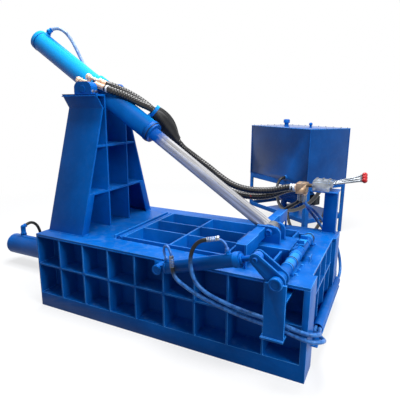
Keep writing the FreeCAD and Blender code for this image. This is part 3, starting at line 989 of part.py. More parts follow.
hose("turnout_hose_front", [
    (1645, -88, 886), (1611, -99.1, 879.8), (1574, -107, 850), (1551, -114, 808), (1541, -119, 752),
    (1544, -120, 690), (1558, -118, 630), (1590, -110, 570), (1650, -98, 522), (1750, -84, 482),
    (1870, -71, 450), (2014, -62, 428), (2150, -58, 410), (2236, -58, 390), (2302, -48, 378),
    (2346, -8, 368), (2356, 54, 340), (2342, 122, 300), (2320, 190, 260), (2288, 262, 220),
    (CONDUIT_X - conduit_run, 350, conduit_z), (CONDUIT_X - conduit_run, 1306, conduit_z),
    (2264, 1378, 238), (2248, 1400, 328), (2224, 1390, 432), (2186, 1364, 535), (2130, 1334, 640),
    (2062, 1304, 735), (2004, 1268, 812), (1980, 1240, 870), (port_x, 1234, 924),
    (port_x, 1234, MANIFOLD_Z0)], HOSE_R)

ram_top = RAM_Z + RAM_BARREL_R + 14
ram_neck_x = RAM_CAP_X + RAM_PORT_IN
ram = fuse(ram, rod(26, (ram_neck_x, MID_Y, ram_top), (ram_neck_x, MID_Y, ram_top + 84)),
           rod(22, (ram_neck_x, MID_Y, ram_top + 84), (ram_neck_x, MID_Y + 34, ram_top + 96)),
           Part.makeSphere(26, V(ram_neck_x, MID_Y, ram_top + 84)))
save("ram_barrel", Part.makeCompound([ram, ram_gland]))
hose("ram_hose", [
    (ram_neck_x, MID_Y + 34, ram_top + 96), (ram_neck_x, 704, 439.6), (-926, 762, 424), (-920, 806, 376),
    (-918, 830, 306), (-922, 846, 226), (-920, 868, 150), (-900, 906, 84), (-852, 962, 38),
    (-770, 1030, 20), (-640, 1110, 19), (-450, 1190, 19), (-200, 1262, 19), (100, 1312, 19),
    (430, 1330, 19), (760, 1326, 19), (1050, 1340, 24), (1230, 1360, 70), (1340, 1376, 166),
    (1420, 1388, 296), (1500, 1392, 436), (1590, 1384, 572), (1690, 1360, 690), (1788, 1322, 784),
    (1866, 1276, 842), (1918, 1234, 882), (MANIFOLD_X0 + 22, 1225, 926),
    (MANIFOLD_X0 + 22, 1225, MANIFOLD_Z0)], CAP_HOSE_R + 1)

pump_port = (motor_x - PUMP_W / 2 - 22, pump_y1 - PUMP_L / 2)
turn_c, turn_s = math.cos(math.radians(UNIT_TURN)), math.sin(math.radians(UNIT_TURN))


def unit_point(x, y, z):
    """A point of the power unit's own frame in the machine's frame."""
    return (UNIT_X + x * turn_c - y * turn_s, UNIT_Y + x * turn_s + y * turn_c, z)


valve_back = valve_y1 + 16
valve_port_z = valve_z0 + 36
hose("pressure_hose", [
    (VALVE_X0 + 96, valve_back, valve_port_z), (VALVE_X0 + 96, 1412, valve_port_z), (2140, 1496, 1020),
    (2132, 1590, 938), (2108, 1690, 805), (2060, 1810, 640), (1990, 1950, 470), (1900, 2110, 320),
    (1790, 2285, 210), (1670, 2460, 168), (1550, 2625, 196), (1468, 2760, 276),
    unit_point(-130, pump_port[1] - 14, 372), unit_point(-20, pump_port[1] - 4, 432),
    unit_point(120, pump_port[1], MOTOR_Z), unit_point(pump_port[0], pump_port[1], MOTOR_Z)],
    BIG_HOSE_R)
hose("return_hose", [
    (VALVE_X0 + 44, valve_back, valve_port_z), (VALVE_X0 + 44, 1412, valve_port_z), (2078, 1500, 1016),
    (2040, 1600, 924), (1962, 1720, 810), (1856, 1870, 696), (1730, 2045, 598), (1595, 2240, 524),
    (1468, 2445, 488), (1365, 2640, 502), (1295, 2790, 566), unit_point(-140, return_port[1] + 8, 676),
    unit_point(-86, return_port[1], return_port[2]), unit_point(-20, return_port[1], return_port[2])],
    BIG_HOSE_R)
fittings = [rod(HOSE_R + 11, (VALVE_X0 + dx, valve_y1, valve_z0 + 36), (VALVE_X0 + dx, valve_y1 + 16, valve_z0 + 36))
            for dx in (44, 96)]
save("port_block", Part.makeCompound([manifold] + fittings))

# brass unions of the lid cylinder, on its near side above the trunnion
def union_rod(radius, start, end):
    return rod(radius, *drawn(start, end))


union_a, _ = path_of(drawn((-122, -120, 79), (-74, -120, 71), (-28, -120, 57), (60, -120, 34)))
union_b, _ = path_of(drawn((-22, -120, 104), (12, -112, 92), (52, -100, 74), (82, -90, 62)))
unions = fuse(sweep(union_a, 13), sweep(union_b, 13),
              union_rod(24, (-146, -120, 83), (-116, -120, 78)), union_rod(24, (46, -120, 38), (153, -120, 7)),
              union_rod(24, (-34, -120, 109), (-6, -118, 100)), union_rod(24, (68, -95, 67), (133, -75, 42)),
              union_rod(13, (-74, -120, 70), (-44, -54, 56)), union_rod(13, (12, -114, 90), (12, -50, 74)),
              union_rod(11, (-38, -120, 60), (8, -112, 92)))
unions = unions.cut(along(rod(BAND_R, (-BAND_L / 2, 0, 0), (BAND_L / 2, 0, 0)),
                          (TRUN_X, MID_Y, TRUN_Z), LID_REST_DEG))
unions = unions.cut(along(rod(LID_BARREL_R, (LID_CAP_S, 0, 0), (LID_HEAD_S, 0, 0)), (TRUN_X, MID_Y, TRUN_Z),
                          LID_REST_DEG))
save("lid_unions", unions)
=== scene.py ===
import json
import math

import bmesh
import bpy
from mathutils import Matrix, Vector

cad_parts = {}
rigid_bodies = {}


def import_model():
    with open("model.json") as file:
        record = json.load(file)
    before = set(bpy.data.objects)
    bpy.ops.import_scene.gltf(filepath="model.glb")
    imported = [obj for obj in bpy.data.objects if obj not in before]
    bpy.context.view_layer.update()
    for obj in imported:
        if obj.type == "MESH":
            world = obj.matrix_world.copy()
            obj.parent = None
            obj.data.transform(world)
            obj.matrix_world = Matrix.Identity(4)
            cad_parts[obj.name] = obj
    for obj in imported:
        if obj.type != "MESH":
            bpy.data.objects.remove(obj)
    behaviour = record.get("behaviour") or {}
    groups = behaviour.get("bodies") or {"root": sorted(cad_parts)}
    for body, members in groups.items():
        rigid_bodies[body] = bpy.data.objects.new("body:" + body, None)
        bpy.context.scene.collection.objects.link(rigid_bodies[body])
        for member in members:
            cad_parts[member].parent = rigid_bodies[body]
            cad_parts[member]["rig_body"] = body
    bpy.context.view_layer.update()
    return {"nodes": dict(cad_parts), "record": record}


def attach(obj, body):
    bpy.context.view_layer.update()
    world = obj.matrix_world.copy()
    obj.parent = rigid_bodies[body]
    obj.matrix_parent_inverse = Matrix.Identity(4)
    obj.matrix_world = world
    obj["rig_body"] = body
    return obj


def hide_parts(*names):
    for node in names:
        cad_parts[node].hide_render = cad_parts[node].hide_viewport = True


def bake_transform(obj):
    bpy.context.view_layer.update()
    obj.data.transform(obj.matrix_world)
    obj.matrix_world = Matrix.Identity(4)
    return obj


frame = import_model()
nodes = frame["nodes"]

# Scrap metal baler. Sizes are in metres, in the row frame: X along the press box toward the
# turn-out shaft, Y from the operator's side to the power unit, Z up from the floor.

# Named places, in millimetres from the press box's near left corner at floor level
HALF_LENGTH, HALF_WIDTH = 1145, 620
ON_DECK = 656                            # a weld's middle, a millimetre over the deck
TRUNNION_X, TRUNNION_Z = 250, 1846       # the lid cylinder's trunnion, in the tower's head
REAR_PIN_X, REAR_PIN_Z = 1262, 606       # the turn-out cylinder's rear pin
SIDE_Y = -57                             # the turn-out cylinder's middle plane
SHAFT_X, SHAFT_Z = 2110, 700             # the turn-out shaft
VALVE_X, VALVE_Z = 2200, 1076            # the pivots of the valve's levers
UNIT_X, UNIT_Y, UNIT_TURN = 1665, 2870, math.radians(55)     # the power unit's corner and turn
LID_TILT, SIDE_TILT = math.radians(-33.40941), math.radians(16.44648)


# ---- node trees ----------------------------------------------------------------------------
def linear(text):
    """An sRGB hex colour as the linear RGBA that Blender's sockets hold."""
    parts = [int(text[i:i + 2], 16) / 255 for i in (0, 2, 4)]
    return [p / 12.92 if p <= 0.04045 else ((p + 0.055) / 1.055) ** 2.4 for p in parts] + [1.0]


def add(tree, kind, links=(), sockets=(), **settings):
    """Add one node: settings on the node, values on its sockets, and links into them, each from
    a socket or from a node's first output."""
    made = tree.nodes.new(kind)
    for key, value in settings.items():
        setattr(made, key, value)
    for key, value in dict(sockets).items():
        made.inputs[key].default_value = value
    for key, source in dict(links).items():
        tree.links.new(getattr(source, "outputs", [source])[0], made.inputs[key])
    return made


def stops(ramp_node, *pairs):
    """Set a colour ramp: (position, hex colour) pairs."""
    ramp = ramp_node.color_ramp
    while len(ramp.elements) > 1:
        ramp.elements.remove(ramp.elements[-1])
    for k, (place, text) in enumerate(pairs):
        element = ramp.elements[0] if k == 0 else ramp.elements.new(place)
        element.position = place
        element.color = linear(text)
    return ramp_node


def blank(name):
    """An empty material, its node tree and the object's own coordinates."""
    made = bpy.data.materials.new(name)
    made.use_nodes = True
    tree = made.node_tree
    tree.nodes.clear()
    return made, tree, add(tree, "ShaderNodeTexCoord").outputs["Object"]


def enamel(name, low, middle, high, dust_or_highlight="8FA9C4", gloss=(0.30, 0.48), specular=0.09, lift=0.16,
           even=False):
    """Sprayed alkyd enamel on hot-rolled plate: a soft gloss, slow colour drift from the gun's
    passes (about 400 mm), an orange peel (drawn at 70 mm so that it shows), and dust on faces
    that look up, gathered in patches. Where even is set, the faces that look up take that colour
    evenly instead, without patches: a painted highlight."""
    made, tree, place = blank(name)
    passes = add(tree, "ShaderNodeTexNoise", {"Vector": place},
                 {"Scale": 2.6, "Detail": 4.0, "Roughness": 0.6})
    colour = stops(add(tree, "ShaderNodeValToRGB", {"Fac": passes}),
                   (0.32, low), (0.5, middle), (0.68, high))
    scuffs = add(tree, "ShaderNodeTexNoise", {"Vector": place},
                 {"Scale": 19.0, "Detail": 7.0, "Roughness": 0.72})
    patches = stops(add(tree, "ShaderNodeValToRGB", {"Fac": scuffs}), (0.50, "000000"), (0.72, "FFFFFF"))
    # faces that look up take the given colour: dust gathered in patches, or, with even set, an even painted
    # highlight
    normal = add(tree, "ShaderNodeNewGeometry").outputs["Normal"]
    upward = add(tree, "ShaderNodeSeparateXYZ", {"Vector": normal}).outputs["Z"]
    upward_dust_or_highlight = add(tree, "ShaderNodeMapRange", {"Value": upward},
                  {"From Min": 0.6, "From Max": 1.0, "To Min": 0.03, "To Max": lift})
    if even:
        upward_dust_or_highlight.inputs["From Min"].default_value = 0.15
        patches.color_ramp.elements[0].position = 0.0
        patches.color_ramp.elements[1].position = 0.12
    share = add(tree, "ShaderNodeMath", {0: upward_dust_or_highlight, 1: patches}, operation="MULTIPLY")
    dusted_or_highlit = add(tree, "ShaderNodeMix", {0: share, 6: colour}, {7: linear(dust_or_highlight)}, data_type="RGBA")
    rough = add(tree, "ShaderNodeMapRange", {"Value": scuffs}, {"To Min": gloss[0], "To Max": gloss[1]})
    peel = add(tree, "ShaderNodeTexNoise", {"Vector": place}, {"Scale": 14.0, "Detail": 2.0})
    bump = add(tree, "ShaderNodeBump", {"Height": peel}, {"Strength": 0.12, "Distance": 0.002})
    shader = add(tree, "ShaderNodeBsdfPrincipled",
                 {"Base Color": dusted_or_highlit.outputs[2], "Roughness": rough, "Normal": bump},
                 {"IOR": 1.48, "Specular IOR Level": specular})
    add(tree, "ShaderNodeOutputMaterial", {"Surface": shader})
    return made


def metal(name, low, high, rough, grain=220.0, depth=0.0002, metallic=1.0):
    """Bare or plated metal: a sheen broken by fine marks, with tones that drift over 90 mm. The
    grain is the marks in cycles per metre, and 220 gives marks 4.5 mm apart, coarse enough to
    show."""
    made, tree, place = blank(name)
    marks = add(tree, "ShaderNodeTexNoise", {"Vector": place}, {"Scale": grain, "Detail": 3.0})
    cloud = add(tree, "ShaderNodeTexNoise", {"Vector": place}, {"Scale": 11.0, "Detail": 4.0})
    colour = stops(add(tree, "ShaderNodeValToRGB", {"Fac": cloud}), (0.35, low), (0.65, high))
    gloss = add(tree, "ShaderNodeMapRange", {"Value": marks}, {"To Min": rough[0], "To Max": rough[1]})
    bump = add(tree, "ShaderNodeBump", {"Height": marks}, {"Strength": 0.15, "Distance": depth})
    shader = add(tree, "ShaderNodeBsdfPrincipled",
                 {"Base Color": colour, "Roughness": gloss, "Normal": bump}, {"Metallic": metallic})
    add(tree, "ShaderNodeOutputMaterial", {"Surface": shader})
    return made


def chromed_rod(name, start, end):
    """Ground hard chrome on a piston rod. Where the rod leaves the gland the sprayer has caught
    it: blue mist that thins out between start and end, and oil haze below."""
    made, tree, place = blank(name)
    axis = (end - start).normalized()
    run = add(tree, "ShaderNodeVectorMath", {0: place}, {1: tuple(axis)}, operation="DOT_PRODUCT")
    mist = add(tree, "ShaderNodeTexNoise", {"Vector": place},
               {"Scale": 26.0, "Detail": 5.0, "Roughness": 0.7})
    drift = add(tree, "ShaderNodeMath", {0: mist}, {1: -0.22, 2: 0.11}, operation="MULTIPLY_ADD")
    reach = add(tree, "ShaderNodeMath", {0: run.outputs["Value"], 1: drift}, operation="ADD")
    paint = add(tree, "ShaderNodeMapRange", {"Value": reach},
                {"From Min": axis.dot(start), "From Max": axis.dot(end), "To Min": 1.0, "To Max": 0.0})
    level = add(tree, "ShaderNodeVectorRotate", {"Vector": place}, {"Angle": -math.atan2(axis.z, axis.x)},
                rotation_type="Y_AXIS", invert=True)
    long = add(tree, "ShaderNodeMapping", {"Vector": level}, {"Scale": (1.6, 55.0, 55.0)})
    haze = add(tree, "ShaderNodeTexNoise", {"Vector": long}, {"Scale": 1.0, "Detail": 3.0})
    plated = stops(add(tree, "ShaderNodeValToRGB", {"Fac": haze}),
                   (0.34, "8F8D8C"), (0.50, "C3C2C3"), (0.62, "E6E6E8"))
    colour = add(tree, "ShaderNodeMix", {0: paint, 6: plated}, {7: linear("0560C2")}, data_type="RGBA")
    bare = add(tree, "ShaderNodeMath", {0: paint}, {1: -0.38, 2: 0.38}, operation="MULTIPLY_ADD")
    gloss = add(tree, "ShaderNodeMapRange", {"Value": haze}, {"To Min": 0.22, "To Max": 0.40})
    shader = add(tree, "ShaderNodeBsdfPrincipled",
                 {"Base Color": colour.outputs[2], "Roughness": gloss, "Metallic": bare},
                 {"Specular IOR Level": 0.2})
    add(tree, "ShaderNodeOutputMaterial", {"Surface": shader})
    return made


def rubber(name, low, high, rough, streak=None, reach=(0.60, 0.66), specular=0.5, clean=()):
    """Extruded rubber or thermoplastic cover: a cloth print 2.4 mm apart, handling dust, and
    where streak is given, dried paint mist or print in that colour. Around the places in clean,
    each with its reach in metres, the cover was masked and stays black."""
    made, tree, place = blank(name)
    weave = add(tree, "ShaderNodeTexNoise", {"Vector": place}, {"Scale": 420.0, "Detail": 2.0})
    cloud = add(tree, "ShaderNodeTexNoise", {"Vector": place},
                {"Scale": 24.0, "Detail": 5.0, "Roughness": 0.7})
    shade = stops(add(tree, "ShaderNodeValToRGB", {"Fac": cloud}), (0.38, low), (0.62, high))
    if streak:
        dots = add(tree, "ShaderNodeTexNoise", {"Vector": place}, {"Scale": 34.0, "Detail": 3.0})
        mask = stops(add(tree, "ShaderNodeValToRGB", {"Fac": dots}),
                     (reach[0], "000000"), (reach[1], "FFFFFF"))
        mixed = add(tree, "ShaderNodeMix", {0: mask, 6: shade}, {7: linear(streak)}, data_type="RGBA")
        shade = mixed.outputs[2]
    for spot, near in clean:
        away = add(tree, "ShaderNodeVectorMath", {0: place}, {1: tuple(spot)}, operation="DISTANCE")
        kept = add(tree, "ShaderNodeMapRange", {"Value": away.outputs["Value"]},
                   {"From Min": near * 0.6, "From Max": near, "To Min": 1.0, "To Max": 0.0})
        mixed = add(tree, "ShaderNodeMix", {0: kept, 6: shade}, {7: linear("15171B")}, data_type="RGBA")
        shade = mixed.outputs[2]
    gloss = add(tree, "ShaderNodeMapRange", {"Value": cloud}, {"To Min": rough[0], "To Max": rough[1]})
    bump = add(tree, "ShaderNodeBump", {"Height": weave}, {"Strength": 0.2, "Distance": 0.0003})
    shader = add(tree, "ShaderNodeBsdfPrincipled",
                 {"Base Color": shade, "Roughness": gloss, "Normal": bump},
                 {"IOR": 1.52, "Specular IOR Level": specular})
    add(tree, "ShaderNodeOutputMaterial", {"Surface": shader})
    return made


# ---- places --------------------------------------------------------------------------------
def at(x, y, z):
    """A point noted in millimetres from the press box's near left corner, in the row frame."""
    return Vector(((x - HALF_LENGTH) / 1000, (y - HALF_WIDTH) / 1000, z / 1000))


def lid_at(s, y, off):
    """Along the lid cylinder from its trunnion, across, and square to it."""
    return at(TRUNNION_X + s * math.cos(LID_TILT) - off * math.sin(LID_TILT), y,
              TRUNNION_Z + s * math.sin(LID_TILT) + off * math.cos(LID_TILT))


def side_at(s, y, off):
    """The same for the turn-out cylinder, from its rear pin."""
    return at(REAR_PIN_X + s * math.cos(SIDE_TILT) - off * math.sin(SIDE_TILT), y,
              REAR_PIN_Z + s * math.sin(SIDE_TILT) + off * math.cos(SIDE_TILT))


def unit(x, y, z):
    """A point noted in the power unit's own frame, which stands turned behind the press."""
    c, t = math.cos(UNIT_TURN), math.sin(UNIT_TURN)
    return at(UNIT_X + x * c - y * t, UNIT_Y + x * t + y * c, z)


def along_x(x0, x1, y, z):
    """The two ends of a line along the press box."""
    return at(x0, y, z), at(x1, y, z)


def along_y(x, y0, y1, z):
    """The two ends of a line across the press box."""
    return at(x, y0, z), at(x, y1, z)


def along_z(x, y, z0, z1):
    """The two ends of an upright line."""
    return at(x, y, z0), at(x, y, z1)


def lid_line(s0, s1):
    """Two points on the lid cylinder's axis, by their distances from its trunnion."""
    return lid_at(s0, HALF_WIDTH, 0), lid_at(s1, HALF_WIDTH, 0)


def side_line(s0, s1):
    """The same on the turn-out cylinder's axis, from its rear pin."""
    return side_at(s0, SIDE_Y, 0), side_at(s1, SIDE_Y, 0)


# ---- finishes ------------------------------------------------------------------------------
# alkyd enamel, a deep blue with a soft gloss: paler copies with an even painted highlight on the
# faces that look up, for the barrel and for the turned parts, a pale enamel painted as a highlight
# on eased edges, and smoother and shinier on the tank's sheet
blue = enamel("press_blue_enamel", "004F9E", "0158AC", "0262BC")
highlit_barrel_enamel = enamel("enamel_with_painted_top_highlight", "0154A4", "025EB4", "0468C4", dust_or_highlight="18B4F2", lift=0.85,
                  even=True)
bright = enamel("turned_enamel_with_painted_highlight", "0A5CB0", "0C68C0", "1274CE", dust_or_highlight="2C92E4", lift=0.6,
                even=True, specular=0.12)
edge_highlight_enamel = enamel("enamel_with_painted_edge_highlight", "1670C8", "2C86D8", "489AE4", gloss=(0.24, 0.40),
                   specular=0.2)
tank_enamel = enamel("smooth_tank_enamel", "02458C", "034E9A", "0457A8", gloss=(0.16, 0.26), specular=0.13)
# bare steel fittings: mid grey from the lathe, a little darker and duller with zinc on them
turned_steel = metal("turned_steel", "8E949B", "B4B9BF", (0.22, 0.40))
zinc_steel = metal("zinc_plated_steel", "868C94", "B9BEC4", (0.24, 0.44), grain=120.0)
# piston rods: streaks of oil on bright chrome, and the sprayer's blue mist where the rod comes out
lid_rod_chrome = chromed_rod("hard_chrome_with_paint_mist", *lid_line(715, 835))
misted_rod = chromed_rod("short_rod_under_paint_mist", *side_line(1500, 1520))
hard_chrome = metal("hard_chrome_plating", "C4C8CE", "DDE0E4", (0.10, 0.22), grain=60.0, depth=0.00005)
# castings and plated blocks: a coarse skin with little shine; the fittings' yellow zinc is pale
cast_iron = metal("painted_pump_casting", "1E2226", "30353A", (0.45, 0.7), grain=500.0, depth=0.001,
                  metallic=0.6)
yellow_zinc = metal("yellow_zinc_fitting", "CFA688", "EBCDB2", (0.30, 0.48), metallic=0.4)
phosphated_steel = metal("phosphated_steel_block", "7E6650", "BDA084", (0.35, 0.6), metallic=0.5)
misted_steel = metal("steel_neck_under_blue_mist", "0E4E9C", "2F6DB8", (0.3, 0.5), metallic=0.2)
valve_steel = metal("cast_valve_with_zinc_wash", "4B5158", "B4B9BE", (0.26, 0.5), grain=60.0, metallic=0.8)
# lever stems and ferrules: darker metal, its darkness a painted reflection of the shade under it
stem_chrome = metal("chromed_lever_stem", "565C63", "969BA2", (0.18, 0.32), grain=60.0)
ferrule_steel = metal("crimped_ferrule_steel", "596069", "9AA0A7", (0.28, 0.44), grain=120.0)
# hose covers: guards that shine black, one with red print, a dull black cover, and covers that
# the sprayer's mist or a grey braid makes pale
black_guard = rubber("black_hose_guard", "08080A", "171517", (0.22, 0.38), streak="33281F",
                     reach=(0.60, 0.76))
marked_guard = rubber("black_guard_with_red_print", "0C0C0E", "1C1A1C", (0.26, 0.46), streak="A81E22",
                      reach=(0.68, 0.70))
black_cover = rubber("black_hose_cover", "0A0B0D", "17191C", (0.32, 0.52), specular=0.3)
misted_cover = rubber("hose_cover_under_blue_mist", "1F5AA4", "4080CA", (0.28, 0.44), streak="12305C",
                      reach=(0.52, 0.78), specular=0.22,
                      clean=((side_at(140, -114, 90), 0.17), (side_at(420, -80, 140), 0.20)))
braided_cover = rubber("grey_braided_cover", "5F7BA8", "93ABCF", (0.25, 0.42))
# moulded parts: a white ring with a dull shine, and glossy red knobs
white_ring = rubber("white_nylon_ring", "D9DDE0", "ECEFF1", (0.3, 0.45))
red_knob = rubber("red_phenolic_knob", "9C0A12", "B0141C", (0.20, 0.35), specular=0.25)

slot_look = {"blue_paint": blue, "bare_steel": turned_steel, "chromed_rod": hard_chrome,
             "cast_pump": cast_iron, "brass_fitting": yellow_zinc, "black_rubber": black_cover,
             "sleeved_rubber": misted_cover}
own_look = {"lid_rod": lid_rod_chrome, "oil_tank": tank_enamel, "control_valve": valve_steel,
            "port_block": phosphated_steel, "hose_elbow_rear": misted_steel,
            "hose_elbow_front": misted_steel,
            "turnout_rod": misted_rod, "turnout_gland": blue, "lid_barrel": highlit_barrel_enamel,
            "turnout_shaft": bright, "shaft_bearings": bright, "lid_gland": blue}
slot_of = {part["node"]: part["material_slot"] for part in frame["record"]["subparts"]}


def look_of(node):
    return own_look.get(node, slot_look[slot_of[node]])


for name, piece in nodes.items():
    piece.data.materials.clear()
    piece.data.materials.append(look_of(name))


# ---- pieces --------------------------------------------------------------------------------
def linked(name, data):
    made = bpy.data.objects.new(name, data)
    bpy.context.scene.collection.objects.link(made)
    return made


def as_object(name, mesh, look):
    made = linked(name, mesh)
    mesh.materials.clear()
    mesh.materials.append(look)
    return made


def from_build(name, build, look):
    """The object that a finished build gives."""
    mesh = bpy.data.meshes.new(name)
    build.to_mesh(mesh)
    build.free()
    return as_object(name, mesh, look)


def plain_mesh(made):
    """The mesh that an object's modifiers or curve settings give."""
    return bpy.data.meshes.new_from_object(made.evaluated_get(bpy.context.evaluated_depsgraph_get()))


def smooth_by_angle(piece, degrees):
    """Smooth shading that keeps edges sharper than the given angle."""
    mesh = piece.data
    mesh.shade_smooth()
    mesh.set_sharp_from_angle(angle=math.radians(degrees))


def merged(node):
    """A node's loose triangles, joined where they meet."""
    build = bmesh.new()
    build.from_mesh(nodes[node].data)
    bmesh.ops.remove_doubles(build, verts=build.verts, dist=0.00002)
    return build


def stand_in(made, node):
    """Give a piece the body and the place of its node."""
    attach(made, nodes[node]["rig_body"])
    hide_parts(node)


def eased(node, width):
    """The plate-work of a node with its cut edges eased, as grinding and paint leave them; the
    bevels take a paler enamel, a painted highlight along the edges.
    """
    build = merged(node)
    bmesh.ops.dissolve_limit(build, angle_limit=math.radians(1), verts=build.verts, edges=build.edges)
    made = from_build(node + "_plates", build, look_of(node))
    made.data.materials.append(edge_highlight_enamel)
    ease = made.modifiers.new("eased edges", "BEVEL")
    ease.width = width
    ease.segments = 2
    ease.limit_method = "ANGLE"
    ease.angle_limit = math.radians(40)
    # the bevels take the pale enamel: a painted highlight along the edges
    ease.material = 1
    ease.use_clamp_overlap = True
    flat = plain_mesh(made)
    made.modifiers.clear()
    made.data = flat
    smooth_by_angle(made, 35)
    stand_in(made, node)


def rounded(node):
    """A node's turned work, with the facets of its rounds shaded smooth."""
    made = from_build(node + "_turned", merged(node), look_of(node))
    smooth_by_angle(made, 35)
    stand_in(made, node)


def spline_of(name, points):
    """A hose's centre line: a NURBS spline with the route's points as its control points."""
    curve = bpy.data.curves.new(name, "CURVE")
    curve.dimensions = "3D"
    line = curve.splines.new("NURBS")
    line.points.add(len(points) - 1)
    for point, place in zip(line.points, points):
        point.co = (*place, 1.0)
    line.order_u = 3
    line.use_endpoint_u = True
    line.resolution_u = 10
    return curve


def spline_points(points):
    """Points that Blender puts along the hose's spline."""
    probe = linked("line", spline_of("line", points))
    path = [v.co.copy() for v in plain_mesh(probe).vertices]
    bpy.data.objects.remove(probe)
    return path


def path_length(path):
    return sum((b - a).length for a, b in zip(path, path[1:]))


def smooth_hose(name, points, radius, look, body):
    """A hose with a plain cover, round all along its route."""
    curve = spline_of(name, points)
    curve.bevel_depth = radius
    curve.bevel_resolution = 6
    curve.use_fill_caps = True
    curve.materials.append(look)
    made = linked(name + "_cover", curve)
    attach(made, body)
    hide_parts(name)
    path_length(spline_points(points))


def even_points(path, step):
    """Points every step along a path, with the direction there."""
    lengths = [0.0]
    for a, b in zip(path, path[1:]):
        lengths.append(lengths[-1] + (b - a).length)
    total = lengths[-1]
    count = max(2, round(total / step))
    out, k = [], 0
    for i in range(count + 1):
        want = total * i / count
        while k < len(path) - 2 and lengths[k + 1] < want:
            k += 1
        share = (want - lengths[k]) / max(lengths[k + 1] - lengths[k], 1e-9)
        out.append((path[k].lerp(path[k + 1], share), (path[k + 1] - path[k]).normalized()))
    return out


def skin(build, rings, closed=True):
    """Join rings of points into a tube with capped ends."""
    loops = [[build.verts.new(p) for p in ring] for ring in rings]
    for low, high in zip(loops, loops[1:]):
        n = len(low)
        for i in range(n):
            build.faces.new((low[i], low[(i + 1) % n], high[(i + 1) % n], high[i]))
    if closed:
        build.faces.new(list(reversed(loops[0])))
        build.faces.new(loops[-1])


def ring_points(centre, direction, radius, sides, side):
    """Circle of points square to a direction; side keeps the seam from twisting."""
    side = (side - direction * side.dot(direction)).normalized()
    up = direction.cross(side)
    angles = [2 * math.pi * i / sides for i in range(sides)]
    return [centre + radius * (math.cos(a) * side + math.sin(a) * up) for a in angles], side


# the spiral guards on the lid's hoses, in metres
GUARD_PITCH, GUARD_ROOT, GUARD_CREST = 0.024, 0.0265, 0.0314
CUFF_LENGTH, CUFF_RADIUS = 0.030, 0.028
FIRST_SIDE = Vector((0.31, 0.17, 0.93))      # a direction that no hose and no pin here runs in


def guarded_hose(name, points, body, look, bends=None):
    """Hose inside a spiral guard: plain cuffs at the ends and rounded ribs between them."""
    path = spline_points(points)
    length = path_length(path)
    steps = even_points(path, GUARD_PITCH / 8)
    rings, side = [], FIRST_SIDE
    for i, (centre, direction) in enumerate(steps):
        s = length * i / (len(steps) - 1)
        radius = CUFF_RADIUS
        if CUFF_LENGTH <= s <= length - CUFF_LENGTH:
            phase = ((s - CUFF_LENGTH) / GUARD_PITCH) % 1.0
            rib = max(0.0, math.sin(math.pi * phase)) ** 0.45
            radius = GUARD_ROOT + (GUARD_CREST - GUARD_ROOT) * rib
        ring, side = ring_points(centre, direction, radius, 24, side)
        rings.append(ring)
    build = bmesh.new()
    skin(build, rings)
    made = from_build(name + "_guard", build, look)
    made.data.shade_smooth()
    if bends:
        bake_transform(made)
    else:
        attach(made, body)
    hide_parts(name)


# ---- hose routes, in metres ------------------------------------------------------------------
near_points = [
    (-0.742, -0.12, 1.853), (-0.7, -0.12, 1.841), (-0.65, -0.082, 1.82), (-0.595, -0.028, 1.79),
    (-0.535, 0.01, 1.755), (-0.469, 0.029, 1.72), (-0.4035, 0.0428, 1.6964), (-0.3819, 0.059, 1.6726)]
far_points = [
    (-0.762, -0.075, 1.888), (-0.726, -0.062, 1.876), (-0.677, -0.014, 1.85), (-0.62, 0.036, 1.815),
    (-0.557, 0.076, 1.774), (-0.5, 0.091, 1.736), (-0.4413, 0.0932, 1.6964), (-0.4197, 0.1094, 1.6726)]
sleeve_points = [
    (-0.3852, 0.0959, 1.6554), (-0.359, 0.1155, 1.6266), (-0.325, 0.176, 1.54), (-0.283, 0.26, 1.412)]
near_loop_points = [
    (-0.255, 0.248, 1.408), (-0.236, 0.284, 1.35), (-0.215, 0.392, 1.29), (-0.16, 0.468, 1.222),
    (-0.04, 0.482, 1.144), (0.07, 0.486, 1.066), (0.2, 0.49, 0.995), (0.352, 0.516, 0.964),
    (0.526, 0.558, 0.968), (0.635, 0.568, 1.0), (0.705, 0.566, 1.02), (0.76, 0.566, 1.02)]
far_loop_points = [
    (-0.309, 0.276, 1.408), (-0.29, 0.312, 1.35), (-0.273, 0.432, 1.248), (-0.215, 0.515, 1.16),
    (-0.115, 0.532, 1.075), (-0.015, 0.538, 0.995), (0.12, 0.548, 0.925), (0.305, 0.57, 0.89),
    (0.505, 0.606, 0.905), (0.625, 0.626, 0.968), (0.705, 0.624, 1.0), (0.76, 0.624, 1.0)]
cap_points = [
    (-1.445, 0.016, 2.385), (-1.415, 0.0427, 2.4067), (-1.359, 0.082, 2.385), (-1.305, 0.112, 2.31),
    (-1.257, 0.13, 2.205), (-1.207, 0.136, 2.105), (-1.137, 0.128, 2.02), (-1.0369, 0.117, 1.9396),
    (-0.9885, 0.117, 1.9077)]
rear_points = [
    (0.26, -0.738, 0.668), (0.266, -0.741, 0.626), (0.291, -0.741, 0.588), (0.339, -0.738, 0.556),
    (0.415, -0.73, 0.515), (0.507, -0.717, 0.474), (0.61, -0.704, 0.44), (0.73, -0.692, 0.408),
    (0.871, -0.682, 0.384), (1.013, -0.678, 0.372), (1.095, -0.678, 0.35), (1.167, -0.67, 0.334),
    (1.219, -0.632, 0.324), (1.237, -0.568, 0.3), (1.229, -0.498, 0.266), (1.205, -0.424, 0.23),
    (1.177, -0.345, 0.203), (1.161, -0.27, 0.196), (1.161, 0.716, 0.196), (1.159, 0.796, 0.238),
    (1.145, 0.818, 0.33), (1.121, 0.806, 0.43), (1.085, 0.778, 0.535), (1.029, 0.742, 0.64),
    (0.963, 0.694, 0.74), (0.901, 0.636, 0.822), (0.845, 0.58, 0.872), (0.827, 0.57, 0.922),
    (0.827, 0.57, 0.972)]
